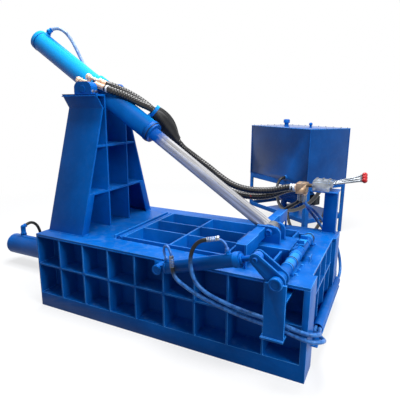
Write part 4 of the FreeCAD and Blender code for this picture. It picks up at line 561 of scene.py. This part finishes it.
front_points = [
    (0.5, -0.708, 0.886), (0.466, -0.7191, 0.8798), (0.429, -0.727, 0.85), (0.406, -0.734, 0.808),
    (0.396, -0.739, 0.752), (0.399, -0.74, 0.69), (0.413, -0.738, 0.63), (0.445, -0.73, 0.57),
    (0.505, -0.718, 0.522), (0.605, -0.704, 0.482), (0.725, -0.691, 0.45), (0.869, -0.682, 0.428),
    (1.005, -0.678, 0.41), (1.091, -0.678, 0.39), (1.157, -0.668, 0.378), (1.201, -0.628, 0.368),
    (1.211, -0.566, 0.34), (1.197, -0.498, 0.3), (1.175, -0.43, 0.26), (1.143, -0.358, 0.22),
    (1.131, -0.27, 0.196), (1.131, 0.686, 0.196), (1.119, 0.758, 0.238), (1.103, 0.78, 0.328),
    (1.079, 0.77, 0.432), (1.041, 0.744, 0.535), (0.985, 0.714, 0.64), (0.917, 0.684, 0.735),
    (0.859, 0.648, 0.812), (0.835, 0.62, 0.87), (0.827, 0.614, 0.924), (0.827, 0.614, 0.972)]
ram_points = [
    (-2.075, 0.034, 0.422), (-2.075, 0.084, 0.4396), (-2.071, 0.142, 0.424), (-2.065, 0.186, 0.376),
    (-2.063, 0.21, 0.306), (-2.067, 0.226, 0.226), (-2.065, 0.248, 0.15), (-2.045, 0.286, 0.084),
    (-1.997, 0.342, 0.038), (-1.915, 0.41, 0.02), (-1.785, 0.49, 0.019), (-1.595, 0.57, 0.019),
    (-1.345, 0.642, 0.019), (-1.045, 0.692, 0.019), (-0.715, 0.71, 0.019), (-0.385, 0.706, 0.019),
    (-0.095, 0.72, 0.024), (0.085, 0.74, 0.07), (0.195, 0.756, 0.166), (0.275, 0.768, 0.296),
    (0.355, 0.772, 0.436), (0.445, 0.764, 0.572), (0.545, 0.74, 0.69), (0.643, 0.702, 0.784),
    (0.721, 0.656, 0.842), (0.773, 0.614, 0.882), (0.782, 0.605, 0.926), (0.782, 0.605, 0.972)]
pressure_points = [
    (0.997, 0.723, 1.05), (0.997, 0.792, 1.05), (0.995, 0.876, 1.02), (0.987, 0.97, 0.938),
    (0.963, 1.07, 0.805), (0.915, 1.19, 0.64), (0.845, 1.33, 0.47), (0.755, 1.49, 0.32),
    (0.645, 1.665, 0.21), (0.525, 1.84, 0.168), (0.405, 2.005, 0.196), (0.323, 2.14, 0.276),
    (0.2783, 2.2605, 0.372), (0.3332, 2.3564, 0.432), (0.4103, 2.4733, 0.45), (0.498, 2.5987, 0.45)]
return_points = [
    (0.945, 0.723, 1.05), (0.945, 0.792, 1.05), (0.933, 0.88, 1.016), (0.895, 0.98, 0.924),
    (0.817, 1.1, 0.81), (0.711, 1.25, 0.696), (0.585, 1.425, 0.598), (0.45, 1.62, 0.524),
    (0.323, 1.825, 0.488), (0.22, 2.02, 0.502), (0.15, 2.17, 0.566), (0.0891, 2.3808, 0.676),
    (0.1266, 2.4205, 0.766), (0.1645, 2.4745, 0.766)]

guarded_hose("lid_hose_near", near_points, "lid_barrel", black_guard)
guarded_hose("lid_hose_far", far_points, "lid_barrel", black_guard)

# both lid hoses run in one black sheath past the clamp: a flattened, pleated sleeve that widens
# below the clamp and gathers again where the hoses leave it
SHEATH_SIDES, PLEATS = 48, 8
BESIDE_SHEATH = Vector((-0.434, 0.871, -0.229))      # the sheath lies flat square to this
sheath_steps = even_points(spline_points(sleeve_points), 0.006)
sheath_rings = []
for i, (centre, direction) in enumerate(sheath_steps):
    share = i / (len(sheath_steps) - 1)
    wide = direction.cross(BESIDE_SHEATH).normalized()
    thick = direction.cross(wide)
    half_wide = 0.061 + 0.024 * math.sin(math.pi * min(1.0, share * 1.1)) - 0.010 * share
    half_thick = 0.054 - 0.004 * math.sin(math.pi * share)
    ring = []
    for k in range(SHEATH_SIDES):
        a = 2 * math.pi * k / SHEATH_SIDES
        pleat = 1 + 0.045 * math.sin(PLEATS * a + 1.6 * share) * math.sin(math.pi * share) ** 0.5
        ring.append(centre + pleat * (half_wide * math.cos(a) * wide + half_thick * math.sin(a) * thick))
    sheath_rings.append(ring)
build = bmesh.new()
skin(build, sheath_rings)
lid_hose_sheath = from_build("lid_hose_sheath", build, black_cover)
smooth_by_angle(lid_hose_sheath, 50)
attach(lid_hose_sheath, "lid_barrel")
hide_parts("lid_hose_sleeve")

# the two loops, from where they leave the sheath to the manifold, stay put: no body carries them
guarded_hose("lid_hose_near_loop", near_loop_points, "press", black_guard,
             bends=("lid_barrel", "press", (-0.262, 0.234, 1.431), (-0.222, 0.354, 1.311)))
guarded_hose("lid_hose_far_loop", far_loop_points, "press", marked_guard,
             bends=("lid_barrel", "press", far_loop_points[0], far_loop_points[7]))
smooth_hose("lid_cap_hose", cap_points, 0.015, braided_cover, "lid_barrel")
smooth_hose("turnout_hose_rear", rear_points, 0.0135, misted_cover, "press")
smooth_hose("turnout_hose_front", front_points, 0.0135, misted_cover, "press")
smooth_hose("ram_hose", ram_points, 0.016, black_cover, "press")
smooth_hose("pressure_hose", pressure_points, 0.019, black_cover, "press")
smooth_hose("return_hose", return_points, 0.019, black_cover, "press")

# ---- plate-work and turned nodes -------------------------------------------------------------
for name, width in (("side_wall_near", 0.0025), ("side_wall_far", 0.0025), ("end_wall_left", 0.0025),
                    ("end_wall_right", 0.0025), ("deck_plate", 0.0025), ("outboard_post", 0.003),
                    ("tower", 0.0025), ("lid_frame", 0.0025), ("clevis_ears", 0.003),
                    ("stop_beams", 0.0025), ("turnout_tray", 0.0025), ("turnout_lever", 0.003),
                    ("tank_stand", 0.0012), ("oil_tank", 0.003), ("valve_stand", 0.0015)):
    eased(name, width)

for name in ("lid_barrel", "lid_gland", "lid_rod", "lid_rod_eye", "ram_barrel", "ram_rod", "turnout_barrel",
             "turnout_gland", "turnout_rod", "turnout_shaft", "shaft_bearings", "trunnion_blocks",
             "lid_hinge_pin", "deck_hinge_knuckles", "clevis_pin_heads", "lever_pin_heads", "hose_conduit",
             "hose_elbow_rear", "hose_elbow_front", "lid_unions", "port_block", "hydraulic_pump",
             "turnout_rear_bracket"):
    rounded(name)

for name, width in (("control_valve", 0.0015), ("press_head", 0.003), ("chamber_bed", 0.002),
                    ("hopper_back_wall", 0.002), ("ram_flange_bolts", 0.001), ("electric_motor", 0.0015)):
    eased(name, width)


# ---- turned work: pins, rings, nuts, ferrules and knobs ---------------------------------------
def turned(name, parts, look, body, node=None, degrees=32, bore=None):
    """Lathe work. Each part is (start, end, profile, sides): the profile is (share of the way
    from start to end, radius in millimetres), and six sides make a nut. With a bore, each part
    is a ring."""
    build = bmesh.new()
    for start, end, profile, sides in parts:
        direction = (end - start).normalized()
        rings, side = [], FIRST_SIDE
        if bore:
            profile = [(profile[0][0], bore)] + profile + [(profile[-1][0], bore)]
        for share, radius in profile:
            ring, side = ring_points(start.lerp(end, share), direction, radius / 1000, sides, side)
            rings.append(ring)
        skin(build, rings + [rings[0]] if bore else rings, closed=not bore)
    bmesh.ops.remove_doubles(build, verts=build.verts, dist=0.000005)
    bmesh.ops.recalc_face_normals(build, faces=build.faces)
    made = from_build(name, build, look)
    smooth_by_angle(made, degrees)
    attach(made, body)
    if node:
        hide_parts(node)


# profiles for a radius of 1: a chamfered nut, and a pin head with a raised rim
NUT = [(0.0, 0.86), (0.12, 1.0), (0.88, 1.0), (1.0, 0.86)]
RIM = [(0.0, 1.0), (0.7, 1.0), (1.0, 0.94), (0.99, 0.74), (0.45, 0.70)]


def nut(line, radius):
    return *line, [(share, radius * part) for share, part in NUT], 6


def pin_rim(line, radius, sides=40):
    return *line, [(share, radius * part) for share, part in RIM], sides


def band(edge, crown, shoulder=0.15):
    """Profile of a ring with sloped shoulders."""
    return [(0.0, edge), (shoulder, crown), (1 - shoulder, crown), (1.0, edge)]


def weld_ring(edge, crown):
    """Profile of a weld that runs round a barrel."""
    return [(0.0, edge), (0.5, crown), (1.0, edge)]


def ferrule(line, radius, waves=5, sides=32):
    """Hose ferrule pressed on in waves."""
    profile = [(0.0, radius - 2), (0.03, radius)]
    for k in range(waves):
        low, high = 0.08 + 0.86 * k / waves, 0.08 + 0.86 * (k + 1) / waves
        profile += [(low + 0.02, radius), (low + 0.06, radius - 1.6),
                    (high - 0.05, radius - 1.6), (high - 0.01, radius)]
    return *line, profile + [(0.98, radius), (1.0, radius - 2)], sides


def lever_line(y, tilt, near, far):
    """Part of a valve lever's line, between two distances from its pivot."""
    return [at(VALVE_X + d * math.cos(tilt), y, VALVE_Z + d * math.sin(tilt)) for d in (near, far)]


# spherical knobs on tapered chromed stems, one for each spool of the valve
BALL_RADIUS, BALL_STEPS, SPOOL_Y, SPOOL_PITCH = 22, 14, 1186, 46
half_turn = [math.pi * i / BALL_STEPS for i in range(BALL_STEPS + 1)]
ball = [(0.5 - 0.5 * math.cos(a), max(0.6, BALL_RADIUS * math.sin(a))) for a in half_turn]
stem = [(0.0, 9.5), (0.12, 9.5), (0.16, 9.0), (0.9, 7.5), (1.0, 7.5)]
for k, degrees in enumerate((12.0, 15.6, 19.2)):
    name, y, tilt = "valve_lever_%d" % (k + 1), SPOOL_Y + SPOOL_PITCH * k, math.radians(degrees)
    turned("valve_stem_%d" % (k + 1),
           [(*along_y(VALVE_X, y - 11, y + 11, VALVE_Z), band(10, 11, 0.1), 24),
            (*lever_line(y, tilt, 4, 238), stem, 20),
            nut(lever_line(y, tilt, 24, 38), 12), nut(lever_line(y, tilt, 222, 234), 11)],
           stem_chrome, nodes[name]["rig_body"], node=name)
    turned("valve_knob_%d" % (k + 1), [(*lever_line(y, tilt, 233, 277), ball, 28)], red_knob,
           nodes[name]["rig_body"], degrees=80)

# lid cylinder: head ring, weld rings, seal, gland face and trunnion pin ends
turned("lid_barrel_rings",
       [(*lid_line(612, 640), [(0.0, 91), (0.06, 94.5), (0.9, 94.5), (1.0, 92)], 72),
        (*lid_line(604, 610), weld_ring(90.4, 92.5), 72),
        (*lid_line(-806, -794), weld_ring(90.2, 93.2), 72),
        (*lid_line(-62, -54), [(0.0, 90.5), (0.8, 96.0), (1.0, 100)], 72),
        (*lid_line(54, 62), [(0.0, 100), (0.2, 96.0), (1.0, 90.5)], 72)],
       blue, "lid_barrel", bore=88)
turned("lid_gland_seal", [(*lid_line(640, 644), [(0.0, 91.8), (1.0, 91.8)], 72)],
       black_cover, "lid_barrel", bore=85)
gland_face = [(0.0, 86.4), (0.80, 86.4), (0.84, 74), (0.90, 74), (0.94, 84), (1.0, 82)]
turned("lid_gland_face", [(*lid_line(640, 663), gland_face, 72)], blue, "lid_barrel", bore=64)
turned("trunnion_pin_ends",
       [(*along_y(TRUNNION_X, y0, y1, TRUNNION_Z), [(0.0, 30), (0.6, 30), (1.0, 28)], 40)
        for y0, y1 in ((392.5, 388), (847.5, 852))], blue, "lid_barrel")

# clamp screw on the hose clamp
clamp_dir = Vector((0.6, 0.45, -0.661)).normalized()
clamp_lean = Vector((-0.55, 0.35, 0.76))
clamp_up = (clamp_lean - clamp_dir * clamp_dir.dot(clamp_lean)).normalized()
screw_at = at(752, 710, 1664) + clamp_up * 0.070
turned("hose_clamp_screw",
       [(screw_at - clamp_dir * 0.014, screw_at + clamp_dir * 0.014, band(9, 10, 0.1), 20),
        nut((screw_at + clamp_dir * 0.014, screw_at + clamp_dir * 0.024), 8)],
       zinc_steel, "lid_barrel")

# pin heads with a raised rim on the ears, the lever, the post and the rear bracket
turned("clevis_pin_rims",
       [pin_rim(along_y(1857, 532, 526, 786), 21), pin_rim(along_y(1857, 708, 714, 786), 21)],
       blue, "lid")
turned("lever_pin_rims",
       [pin_rim(along_y(1970, -113, -119, 815), 15, 32), pin_rim(along_y(1970, -1, 5, 815), 15, 32)],
       blue, "turnout")
turned("post_boss_cap", [pin_rim(along_y(SHAFT_X, -149, -155, SHAFT_Z), 39, 48)], blue, "press")
turned("rear_pin_cap", [pin_rim(along_y(REAR_PIN_X, -93, -98, REAR_PIN_Z), 34)], blue, "press")


def shaft_rings(places, profile):
    """Rings round the turn-out shaft, each noted as its place across the press and its width."""
    return [(*along_y(SHAFT_X, y, y + width, SHAFT_Z), profile, 40) for y, width in places]


turned("shaft_sleeve_bands",
       shaft_rings(((116, 16), (226, 12), (345, 16), (755, 16), (812, 16)), band(38, 41.5)),
       bright, "press", bore=34)
# black rings at the sleeves' joints: painted shade for the shadow in the gaps there
turned("shaft_shadow_gap_rings", shaft_rings([(y, 9) for y in (132, 241, 771, 803)], band(40, 42, 0.2)),
       black_cover, "press", bore=34)
turned("tray_hub_bands", shaft_rings(((369, 14), (470, 10), (640, 10), (735, 14)), band(38, 41)),
       bright, "turnout", bore=34)
turned("turnout_barrel_rings",
       [(*side_line(584, 628), [(0.0, 46), (0.08, 51), (0.9, 51), (1.0, 49)], 56),
        (*side_line(70, 80), weld_ring(45.3, 48), 56)],
       blue, "turnout_barrel", bore=43)
turned("turnout_port_nuts",
       [nut((side_at(s, SIDE_Y, low), side_at(s, SIDE_Y, high)), 21)
        for s, low, high in ((82, 48, 56), (552, 54, 63))],
       blue, "turnout_barrel")
turned("turnout_gland_face", [(*side_line(628, 641), [(0.0, 35), (0.7, 35), (1.0, 32)], 48)],
       blue, "turnout_barrel", bore=24)

# stop lugs on the tray's hub: a flat pad with two upright cheeks
build = bmesh.new()
for y, z, size in ((560, 744, (54, 150, 10)), (500, 760, (54, 10, 34)), (620, 760, (54, 10, 34))):
    box = bmesh.ops.create_cube(build, size=1.0)["verts"]
    bmesh.ops.scale(build, vec=Vector(size) / 1000, verts=box)
    bmesh.ops.translate(build, vec=at(SHAFT_X, y, z), verts=box)
bmesh.ops.bevel(build, geom=build.edges[:], offset=0.0025, segments=2, affect="EDGES", profile=0.5)
hub_lugs = from_build("tray_hub_lugs", build, bright)
smooth_by_angle(hub_lugs, 35)
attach(hub_lugs, "turnout")

# ferrules and nuts at the hose ends
turned("turnout_hose_ferrules",
       [ferrule((at(1397, -114, 724), at(1405.6, -118.4, 664)), 17.5),
        nut((at(1394.5, -112.6, 742), at(1397, -114, 726)), 17),
        ferrule((at(1703, -69, 896.6), at(1644, -88.3, 885.8)), 17.5),
        nut((at(1720, -63.5, 899.5), at(1705, -68.4, 897)), 17)], ferrule_steel, "press")
turned("manifold_nuts",
       [nut(along_x(1893, 1906, 1186, 1020), 33), nut(along_x(1893, 1906, 1244, 1000), 33),
        nut(along_z(1972, 1190, 958, 973), 21), nut(along_z(1972, 1234, 958, 973), 21),
        nut(along_z(1927, 1225, 956, 973), 23)], yellow_zinc, "press")
turned("loop_end_ferrules", [ferrule(along_x(1850, 1892, 1186, 1020), 31, waves=3, sides=40)],
       white_ring, "press")
turned("far_loop_end_ferrule", [ferrule(along_x(1850, 1892, 1244, 1000), 31, waves=3, sides=40)],
       ferrule_steel, "press")
turned("lower_hose_ferrules",
       [ferrule(along_z(1972, 1190, 896, 957), 16.8), ferrule(along_z(1972, 1234, 898, 957), 16.8),
        ferrule(along_z(1927, 1225, 900, 955), 19)], ferrule_steel, "press")
turned("lid_union_nuts",
       [nut((at(104, 500, 1929), at(124, 500, 1926)), 29),
        nut((at(140, 500, 1923), at(158, 500, 1920)), 22),
        nut((at(216, 500, 1955), at(232, 501, 1950)), 27),
        nut((at(238, 502, 1948), at(252, 506, 1942)), 19),
        nut((at(296, 500, 1884), at(318, 500, 1877.6)), 29),
        nut((at(318, 525, 1913), at(336, 530.5, 1906)), 29),
        ferrule((at(330, 500, 1874), at(400, 500, 1853.8)), 26.5, waves=4, sides=36),
        ferrule((at(344, 533, 1903), at(381, 544.4, 1888.8)), 26.5, waves=3, sides=36)],
       yellow_zinc, "lid_barrel")
turned("lid_hose_white_ring", [(at(418, 500, 1848.6), at(434, 500, 1844.1), band(26, 30.5), 40)],
       white_ring, "lid_barrel")
turned("cap_hose_end_nuts",
       [nut((at(-309, 628, 2378.6), at(-297, 638.6, 2387.2)), 21),
        nut(along_z(-318, HALF_WIDTH, 2352, 2366), 23)],
       blue, "lid_barrel")
turned("ram_hose_nuts",
       [nut(along_z(-930, HALF_WIDTH, 326, 344), 34), nut((at(-930, 646, 419), at(-930, 658, 423)), 24)],
       blue, "press")

# the tank's filler cap and its breather, both on a neck
filler = [(0.0, 22), (0.06, 22), (0.08, 15), (0.42, 15), (0.46, 24), (0.80, 24), (0.9, 20), (1.0, 12)]
breather = [(0.0, 44), (0.05, 44), (0.07, 31), (0.44, 31), (0.47, 45), (0.86, 45), (0.94, 41), (1.0, 30)]
turned("tank_caps_turned", [(unit(373, 397, 1440), unit(373, 397, 1502), filler, 32),
                            (unit(341, 861, 1440), unit(341, 861, 1536), breather, 48)],
       blue, "press", node="tank_caps")


# ---- what repeats: weld beads and bolts, grown by Geometry Nodes ------------------------------
def node_tree(name, *sizes):
    """A new tree with an input for each size and one for the finish, and their sockets."""
    tree = bpy.data.node_groups.new(name, "GeometryNodeTree")
    inputs = {"Geometry": "NodeSocketGeometry", **dict.fromkeys(sizes, "NodeSocketFloat"),
              "Finish": "NodeSocketMaterial"}
    for label, kind in inputs.items():
        tree.interface.new_socket(label, in_out="INPUT", socket_type=kind)
    tree.interface.new_socket("Geometry", in_out="OUTPUT", socket_type="NodeSocketGeometry")
    return tree, add(tree, "NodeGroupInput").outputs


def end_tree(tree, geometry, finish):
    """Make the instances real, because the export drops them, and give them their material."""
    real = add(tree, "GeometryNodeRealizeInstances", {"Geometry": geometry})
    finished = add(tree, "GeometryNodeSetMaterial", {"Geometry": real, "Material": finish})
    add(tree, "NodeGroupOutput", {"Geometry": finished})


def weld_beads():
    """A fillet weld: a bead along each seam, with the ripples that the arc leaves."""
    tree, given = node_tree("weld_beads", "Bead radius", "Ripple pitch", "Ripple depth")
    seam = add(tree, "GeometryNodeMeshToCurve", {"Mesh": given["Geometry"]})
    quarter = add(tree, "ShaderNodeMath", {0: given["Ripple pitch"]}, {1: 4.0}, operation="DIVIDE")
    stepped = add(tree, "GeometryNodeResampleCurve", {"Curve": seam, "Length": quarter}, mode="LENGTH")
    run = add(tree, "GeometryNodeSplineParameter")
    phase = add(tree, "ShaderNodeMath", {0: run.outputs["Length"], 1: given["Ripple pitch"]},
                operation="DIVIDE")
    turns = add(tree, "ShaderNodeMath", {0: phase}, {1: 2 * math.pi}, operation="MULTIPLY")
    wave = add(tree, "ShaderNodeMath", {0: turns}, operation="SINE")
    swell = add(tree, "ShaderNodeMath", {0: wave, 1: given["Ripple depth"]}, {2: 1.0},
                operation="MULTIPLY_ADD")
    rippled = add(tree, "GeometryNodeSetCurveRadius", {"Curve": stepped, "Radius": swell})
    section = add(tree, "GeometryNodeCurvePrimitiveCircle", {"Radius": given["Bead radius"]},
                  {"Resolution": 6})
    bead = add(tree, "GeometryNodeCurveToMesh", {"Curve": rippled, "Profile Curve": section},
               {"Fill Caps": True})
    soft = add(tree, "GeometryNodeSetShadeSmooth", {"Geometry": bead})
    end_tree(tree, soft, given["Finish"])
    return tree


def hexagon_bolts():
    """A hexagon head on a washer at each point, standing along the point's "facing". The head's
    middle is half its height and half the washer's up, less a hundredth by which it is sunk."""
    tree, given = node_tree("hexagon_bolts", "Head radius", "Head height")
    head = add(tree, "GeometryNodeMeshCylinder",
               {"Radius": given["Head radius"], "Depth": given["Head height"]},
               {"Vertices": 6})
    half = add(tree, "ShaderNodeMath", {0: given["Head height"]}, {1: 0.62}, operation="MULTIPLY")
    lift = add(tree, "ShaderNodeCombineXYZ", {"Z": half})
    seated = add(tree, "GeometryNodeTransform", {"Geometry": head, "Translation": lift})
    wide = add(tree, "ShaderNodeMath", {0: given["Head radius"]}, {1: 1.3}, operation="MULTIPLY")
    thin = add(tree, "ShaderNodeMath", {0: given["Head height"]}, {1: 0.26}, operation="MULTIPLY")
    washer = add(tree, "GeometryNodeMeshCylinder", {"Radius": wide, "Depth": thin}, {"Vertices": 20})
    both = add(tree, "GeometryNodeJoinGeometry", {"Geometry": seated})
    tree.links.new(washer.outputs[0], both.inputs[0])
    facing = add(tree, "GeometryNodeInputNamedAttribute", sockets={"Name": "facing"},
                 data_type="FLOAT_VECTOR")
    turn_to = add(tree, "FunctionNodeAlignRotationToVector", {"Vector": facing}, axis="Z")
    placed = add(tree, "GeometryNodeInstanceOnPoints",
                 {"Points": given["Geometry"], "Instance": both, "Rotation": turn_to})
    end_tree(tree, placed, given["Finish"])
    return tree


weld_tree = weld_beads()
bolt_tree = hexagon_bolts()


def grown(tree, name, base, body, sizes):
    """Run a node tree on a base mesh and keep the plain mesh that it gives."""
    seed = linked(name + "_base", base)
    grow = seed.modifiers.new("grow", "NODES")
    grow.node_group = tree
    for item in tree.interface.items_tree:
        if item.in_out == "INPUT" and item.name in sizes:
            grow[item.identifier] = sizes[item.name]
    mesh = plain_mesh(seed)
    mesh.name = name
    bpy.data.objects.remove(seed)
    made = linked(name, mesh)
    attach(made, body)


def weld(name, body, seams, radius=0.0055):
    """Beads on straight seams, each given by its two ends."""
    base = bpy.data.meshes.new(name + "_seams")
    points = [p for seam in seams for p in seam]
    base.from_pydata(points, [(2 * i, 2 * i + 1) for i in range(len(seams))], [])
    grown(weld_tree, name, base, body,
          {"Bead radius": radius, "Ripple pitch": 0.012, "Ripple depth": 0.16, "Finish": blue})


def bolted(name, places, look, radius, height):
    """Bolt heads on the press, each given by its seat and the way that it faces."""
    base = bpy.data.meshes.new(name + "_places")
    base.from_pydata([p for p, _ in places], [], [])
    toward = base.attributes.new("facing", "FLOAT_VECTOR", "POINT")
    for item, (_, direction) in zip(toward.data, places):
        item.vector = direction
    grown(bolt_tree, name, base, "press",
          {"Head radius": radius, "Head height": height, "Finish": look})


# the side walls: both faces of the ribs, 14 mm thick and 250 mm apart, and the heights between
# which the seams run
HALF_RIB, WALL_FACE, FAR_FACE = 7, 170, 1070
FOOT_TOP, SHELF_UNDER, SHELF_TOP, LIP_UNDER = 123, 379, 393, 634
rib_xs = [255 + 250 * i + side for i in range(8) for side in (-HALF_RIB, HALF_RIB)]
seams = []
for x in rib_xs:
    seams += [along_z(x, WALL_FACE, FOOT_TOP, SHELF_UNDER), along_z(x, WALL_FACE, SHELF_TOP, LIP_UNDER),
              along_y(x, 8, 164, SHELF_TOP), along_y(x, 18, 164, FOOT_TOP),
              along_z(x, 1, 370, 378), along_z(x, 1, 394, 402)]
for x0, x1 in zip([14] + rib_xs[1::2], rib_xs[0::2] + [2250]):
    seams += [along_x(x0, x1, WALL_FACE, SHELF_TOP), along_x(x0, x1, WALL_FACE, FOOT_TOP),
              along_x(x0, x1, 2, 634.5)]
weld("near_wall_welds", "press", seams)

seams = []
for x in rib_xs:
    seams += [along_z(x, FAR_FACE, FOOT_TOP, SHELF_UNDER), along_z(x, FAR_FACE, SHELF_TOP, LIP_UNDER),
              along_y(x, 1076, 1232, SHELF_TOP)]
weld("far_wall_welds", "press", seams)

# the tower: its foot, and both faces of its two uprights
leg_ys = (473, 489, 751, 767)
seams = [along_y(409, 118, 196, ON_DECK), along_y(409, 1044, 1122, ON_DECK),
         along_x(37, 409, 109, ON_DECK), along_x(37, 409, 1131, ON_DECK),
         along_y(668, 212, 1028, ON_DECK), along_x(40, 405, 368, 1786)]
seams += [along_x(140, 405, y, z) for z in (986, 1383) for y in leg_ys]
for y in leg_ys:
    seams += [along_z(136, y, 658, 968), along_z(136, y, 988, 1365), along_z(136, y, 1385, 1555)]
seams += [along_y(136, 500, 740, z) for z in (658, 988, 1385)]
weld("tower_welds", "press", seams)

# the lid: the corners of its bays, which past 1640 only the outer rails have, and its top plates
lid_ys = (228, 490, 504, 736, 750, 1012)
seams = []
for x in (758, 1175, 1189, 1632, 1646, 1971):
    seams += [along_z(x, y, 375, 676) for y in lid_ys if x < 1640 or y in (lid_ys[0], lid_ys[-1])]
for y in lid_ys:
    seams += [along_x(760, 1173, y, 373.5), along_x(1191, 1630, y, 373.5)]
seams += [along_x(1767, 1948, y, 700.5) for y in (540, 565, 675, 700)]
seams += [along_y(1949, 541, 564, 700.5), along_y(1949, 676, 699, 700.5),
          along_x(1770, 1830, 539, 741), along_x(1770, 1830, 701, 741),
          along_y(1832, 100, 340, 741), along_y(1832, 900, 1140, 741)]
weld("lid_welds", "lid", seams)

# the post, the rear bracket, the ledge, the bearings' feet, and the end wall's four ribs
seams = [along_x(2045, 2175, -115, 346.5), along_x(2045, 2175, -115, 593.5),
         along_x(2150, 2258, 1160, ON_DECK), along_y(2258, 1160, 1228, ON_DECK),
         along_z(1200, -11, 554, 635), along_z(1304, -11, 554, 635),
         along_y(2147, 130, 340, ON_DECK), along_y(2147, 766, 820, ON_DECK)]
for y in [248 * k + side for k in range(1, 5) for side in (-HALF_RIB, HALF_RIB)]:
    seams += [along_z(2115.5, y, 162, 432), along_z(2115.5, y, 448, 634),
              along_x(2120, 2258, y, 448), along_x(2120, 2258, y, 161)]
weld("end_and_post_welds", "press", seams)

# the tank: its upright corners and the two seams of its floor that show
TANK_X, TANK_Y, TANK_FLOOR, COVER_TOP = 700, 1250, 707, 1440.4
seams = [(unit(x, y, TANK_FLOOR + 5), unit(x, y, 1428)) for x in (0, TANK_X) for y in (0, TANK_Y)]
seams += [(unit(0, 0, TANK_FLOOR), unit(x, y, TANK_FLOOR)) for x, y in ((0, TANK_Y), (TANK_X, 0))]
weld("tank_welds", "press", seams, radius=0.004)

up, front = Vector((0, 0, 1)), Vector((0, -1, 0))
places = [(unit(x, y, COVER_TOP), up) for y in (18, TANK_Y - 18) for x in range(30, 700, 128)]
places += [(unit(x, y, COVER_TOP), up) for x in (18, TANK_X - 18) for y in range(140, 1200, 139)]
bolted("tank_cover_bolts", places, zinc_steel, radius=0.007, height=0.006)
places = [(at(x, y, 1825), Vector((way, 0, 0)))
          for x, way in ((157.5, -1), (342.5, 1)) for y in (412, 452, 788, 828)]
bolted("trunnion_block_bolts", places, zinc_steel, radius=0.011, height=0.010)
places = [(at(x, 1136.8, z), front) for x in (2062, 2170) for z in (1030, 1072)]
places += [(at(x, y, 1098.4), up) for x in (2062, 2116, 2170) for y in (1186, 1232, 1278)]
bolted("valve_tie_bolts", places, turned_steel, radius=0.009, height=0.008)
places = [(at(2200.4, y, VALVE_Z), front) for y in (1168.6, 1214.6, 1260.6)]
places += [(at(1950, y, 1062.3), up) for y in (1175, 1215, 1255)]
bolted("valve_small_bolts", places, turned_steel, radius=0.006, height=0.005)
# the bearings' foot bolts take the pale edge enamel, a painted highlight
places = [(at(2166, y, 656.4), up) for y in (150, 236, 322, 790)]
bolted("bearing_foot_bolts", places, edge_highlight_enamel, radius=0.010, height=0.009)


# ---- floor, light and camera -----------------------------------------------------------------
def looked_at(tree):
    """1 where a ray shows the backdrop, straight, mirrored or through glass, and 0 where it
    brings light to the object."""
    seen = add(tree, "ShaderNodeLightPath")
    watched = add(tree, "ShaderNodeMath",
                  {0: seen.outputs["Is Camera Ray"], 1: seen.outputs["Is Glossy Ray"]},
                  operation="MAXIMUM")
    through = add(tree, "ShaderNodeMath", {0: watched, 1: seen.outputs["Is Transmission Ray"]},
                  operation="MAXIMUM")
    return through


# looked at, the floor is white and keeps the near shadow; what it gives the object as bounced
# light is that of a plain mid-grey floor
floor_look, tree, place = blank("pale_floor")
far_off = add(tree, "ShaderNodeVectorMath", {0: place}, operation="LENGTH")
fade = add(tree, "ShaderNodeMapRange", {"Value": far_off.outputs["Value"]},
           {"From Min": 2.0, "From Max": 6.0, "To Min": 0.72, "To Max": 1.0})
lit_floor = add(tree, "ShaderNodeBsdfDiffuse", sockets={"Color": linear("F4F5F7")})
white_floor = add(tree, "ShaderNodeEmission", sockets={"Color": linear("FFFFFF"), "Strength": 1.0})
shown = add(tree, "ShaderNodeMixShader", {0: fade, 1: lit_floor, 2: white_floor})
grey_floor = add(tree, "ShaderNodeBsdfDiffuse", sockets={"Color": linear("6E7176")})
ground = add(tree, "ShaderNodeMixShader", {0: looked_at(tree), 1: grey_floor, 2: shown})
add(tree, "ShaderNodeOutputMaterial", {"Surface": ground})
build = bmesh.new()
bmesh.ops.create_grid(build, x_segments=1, y_segments=1, size=40.0)
from_build("studio_floor", build, floor_look)

world = bpy.data.worlds.new("studio")
bpy.context.scene.world = world
world.use_nodes = True
tree = world.node_tree
tree.nodes.clear()
fill = add(tree, "ShaderNodeBackground", sockets={"Color": linear("DDE6F4"), "Strength": 0.30})
white = add(tree, "ShaderNodeBackground", sockets={"Color": linear("FFFFFF"), "Strength": 1.0})
pick = add(tree, "ShaderNodeMixShader", {0: looked_at(tree), 1: fill, 2: white})
add(tree, "ShaderNodeOutputWorld", {"Surface": pick})


def soft_light(name, place, aim, side, power):
    """A square lamp that looks at a point."""
    lamp = bpy.data.lights.new(name, "AREA")
    lamp.shape = "RECTANGLE"
    lamp.size = lamp.size_y = side
    lamp.energy = power
    made = linked(name, lamp)
    made.location = place
    made.rotation_euler = (Vector(aim) - Vector(place)).to_track_quat("-Z", "Y").to_euler()


soft_light("key", (6.0, -1.6, 4.2), (0.2, 0.4, 0.6), 2.5, 400)
soft_light("top", (-0.4, 0.6, 6.5), (0.0, 0.6, 0.0), 4.0, 620)

# the photograph's camera: its axes, its place, and its lens from the focal length in pixels
PHOTO_WIDTH, PHOTO_FOCAL, SENSOR = 400, 394.819, 36.0
right = Vector((0.8944687, 0.44710076, 0.00516232))
down = Vector((0.10683655, -0.20249743, -0.97343759))
ahead = Vector((-0.43417933, 0.87126098, -0.22889432))
eye = bpy.data.cameras.new("photo_camera")
eye.sensor_width = SENSOR
eye.lens = SENSOR * PHOTO_FOCAL / PHOTO_WIDTH
eye.clip_end = 100.0
camera = linked("photo_camera", eye)
turn = Matrix((right, -down, -ahead)).transposed().to_4x4()
camera.matrix_world = Matrix.Translation((1.51665, -2.85127, 1.70139)) @ turn
bpy.context.scene.camera = camera
bpy.context.scene.view_settings.view_transform = "Standard"

bpy.context.view_layer.update()
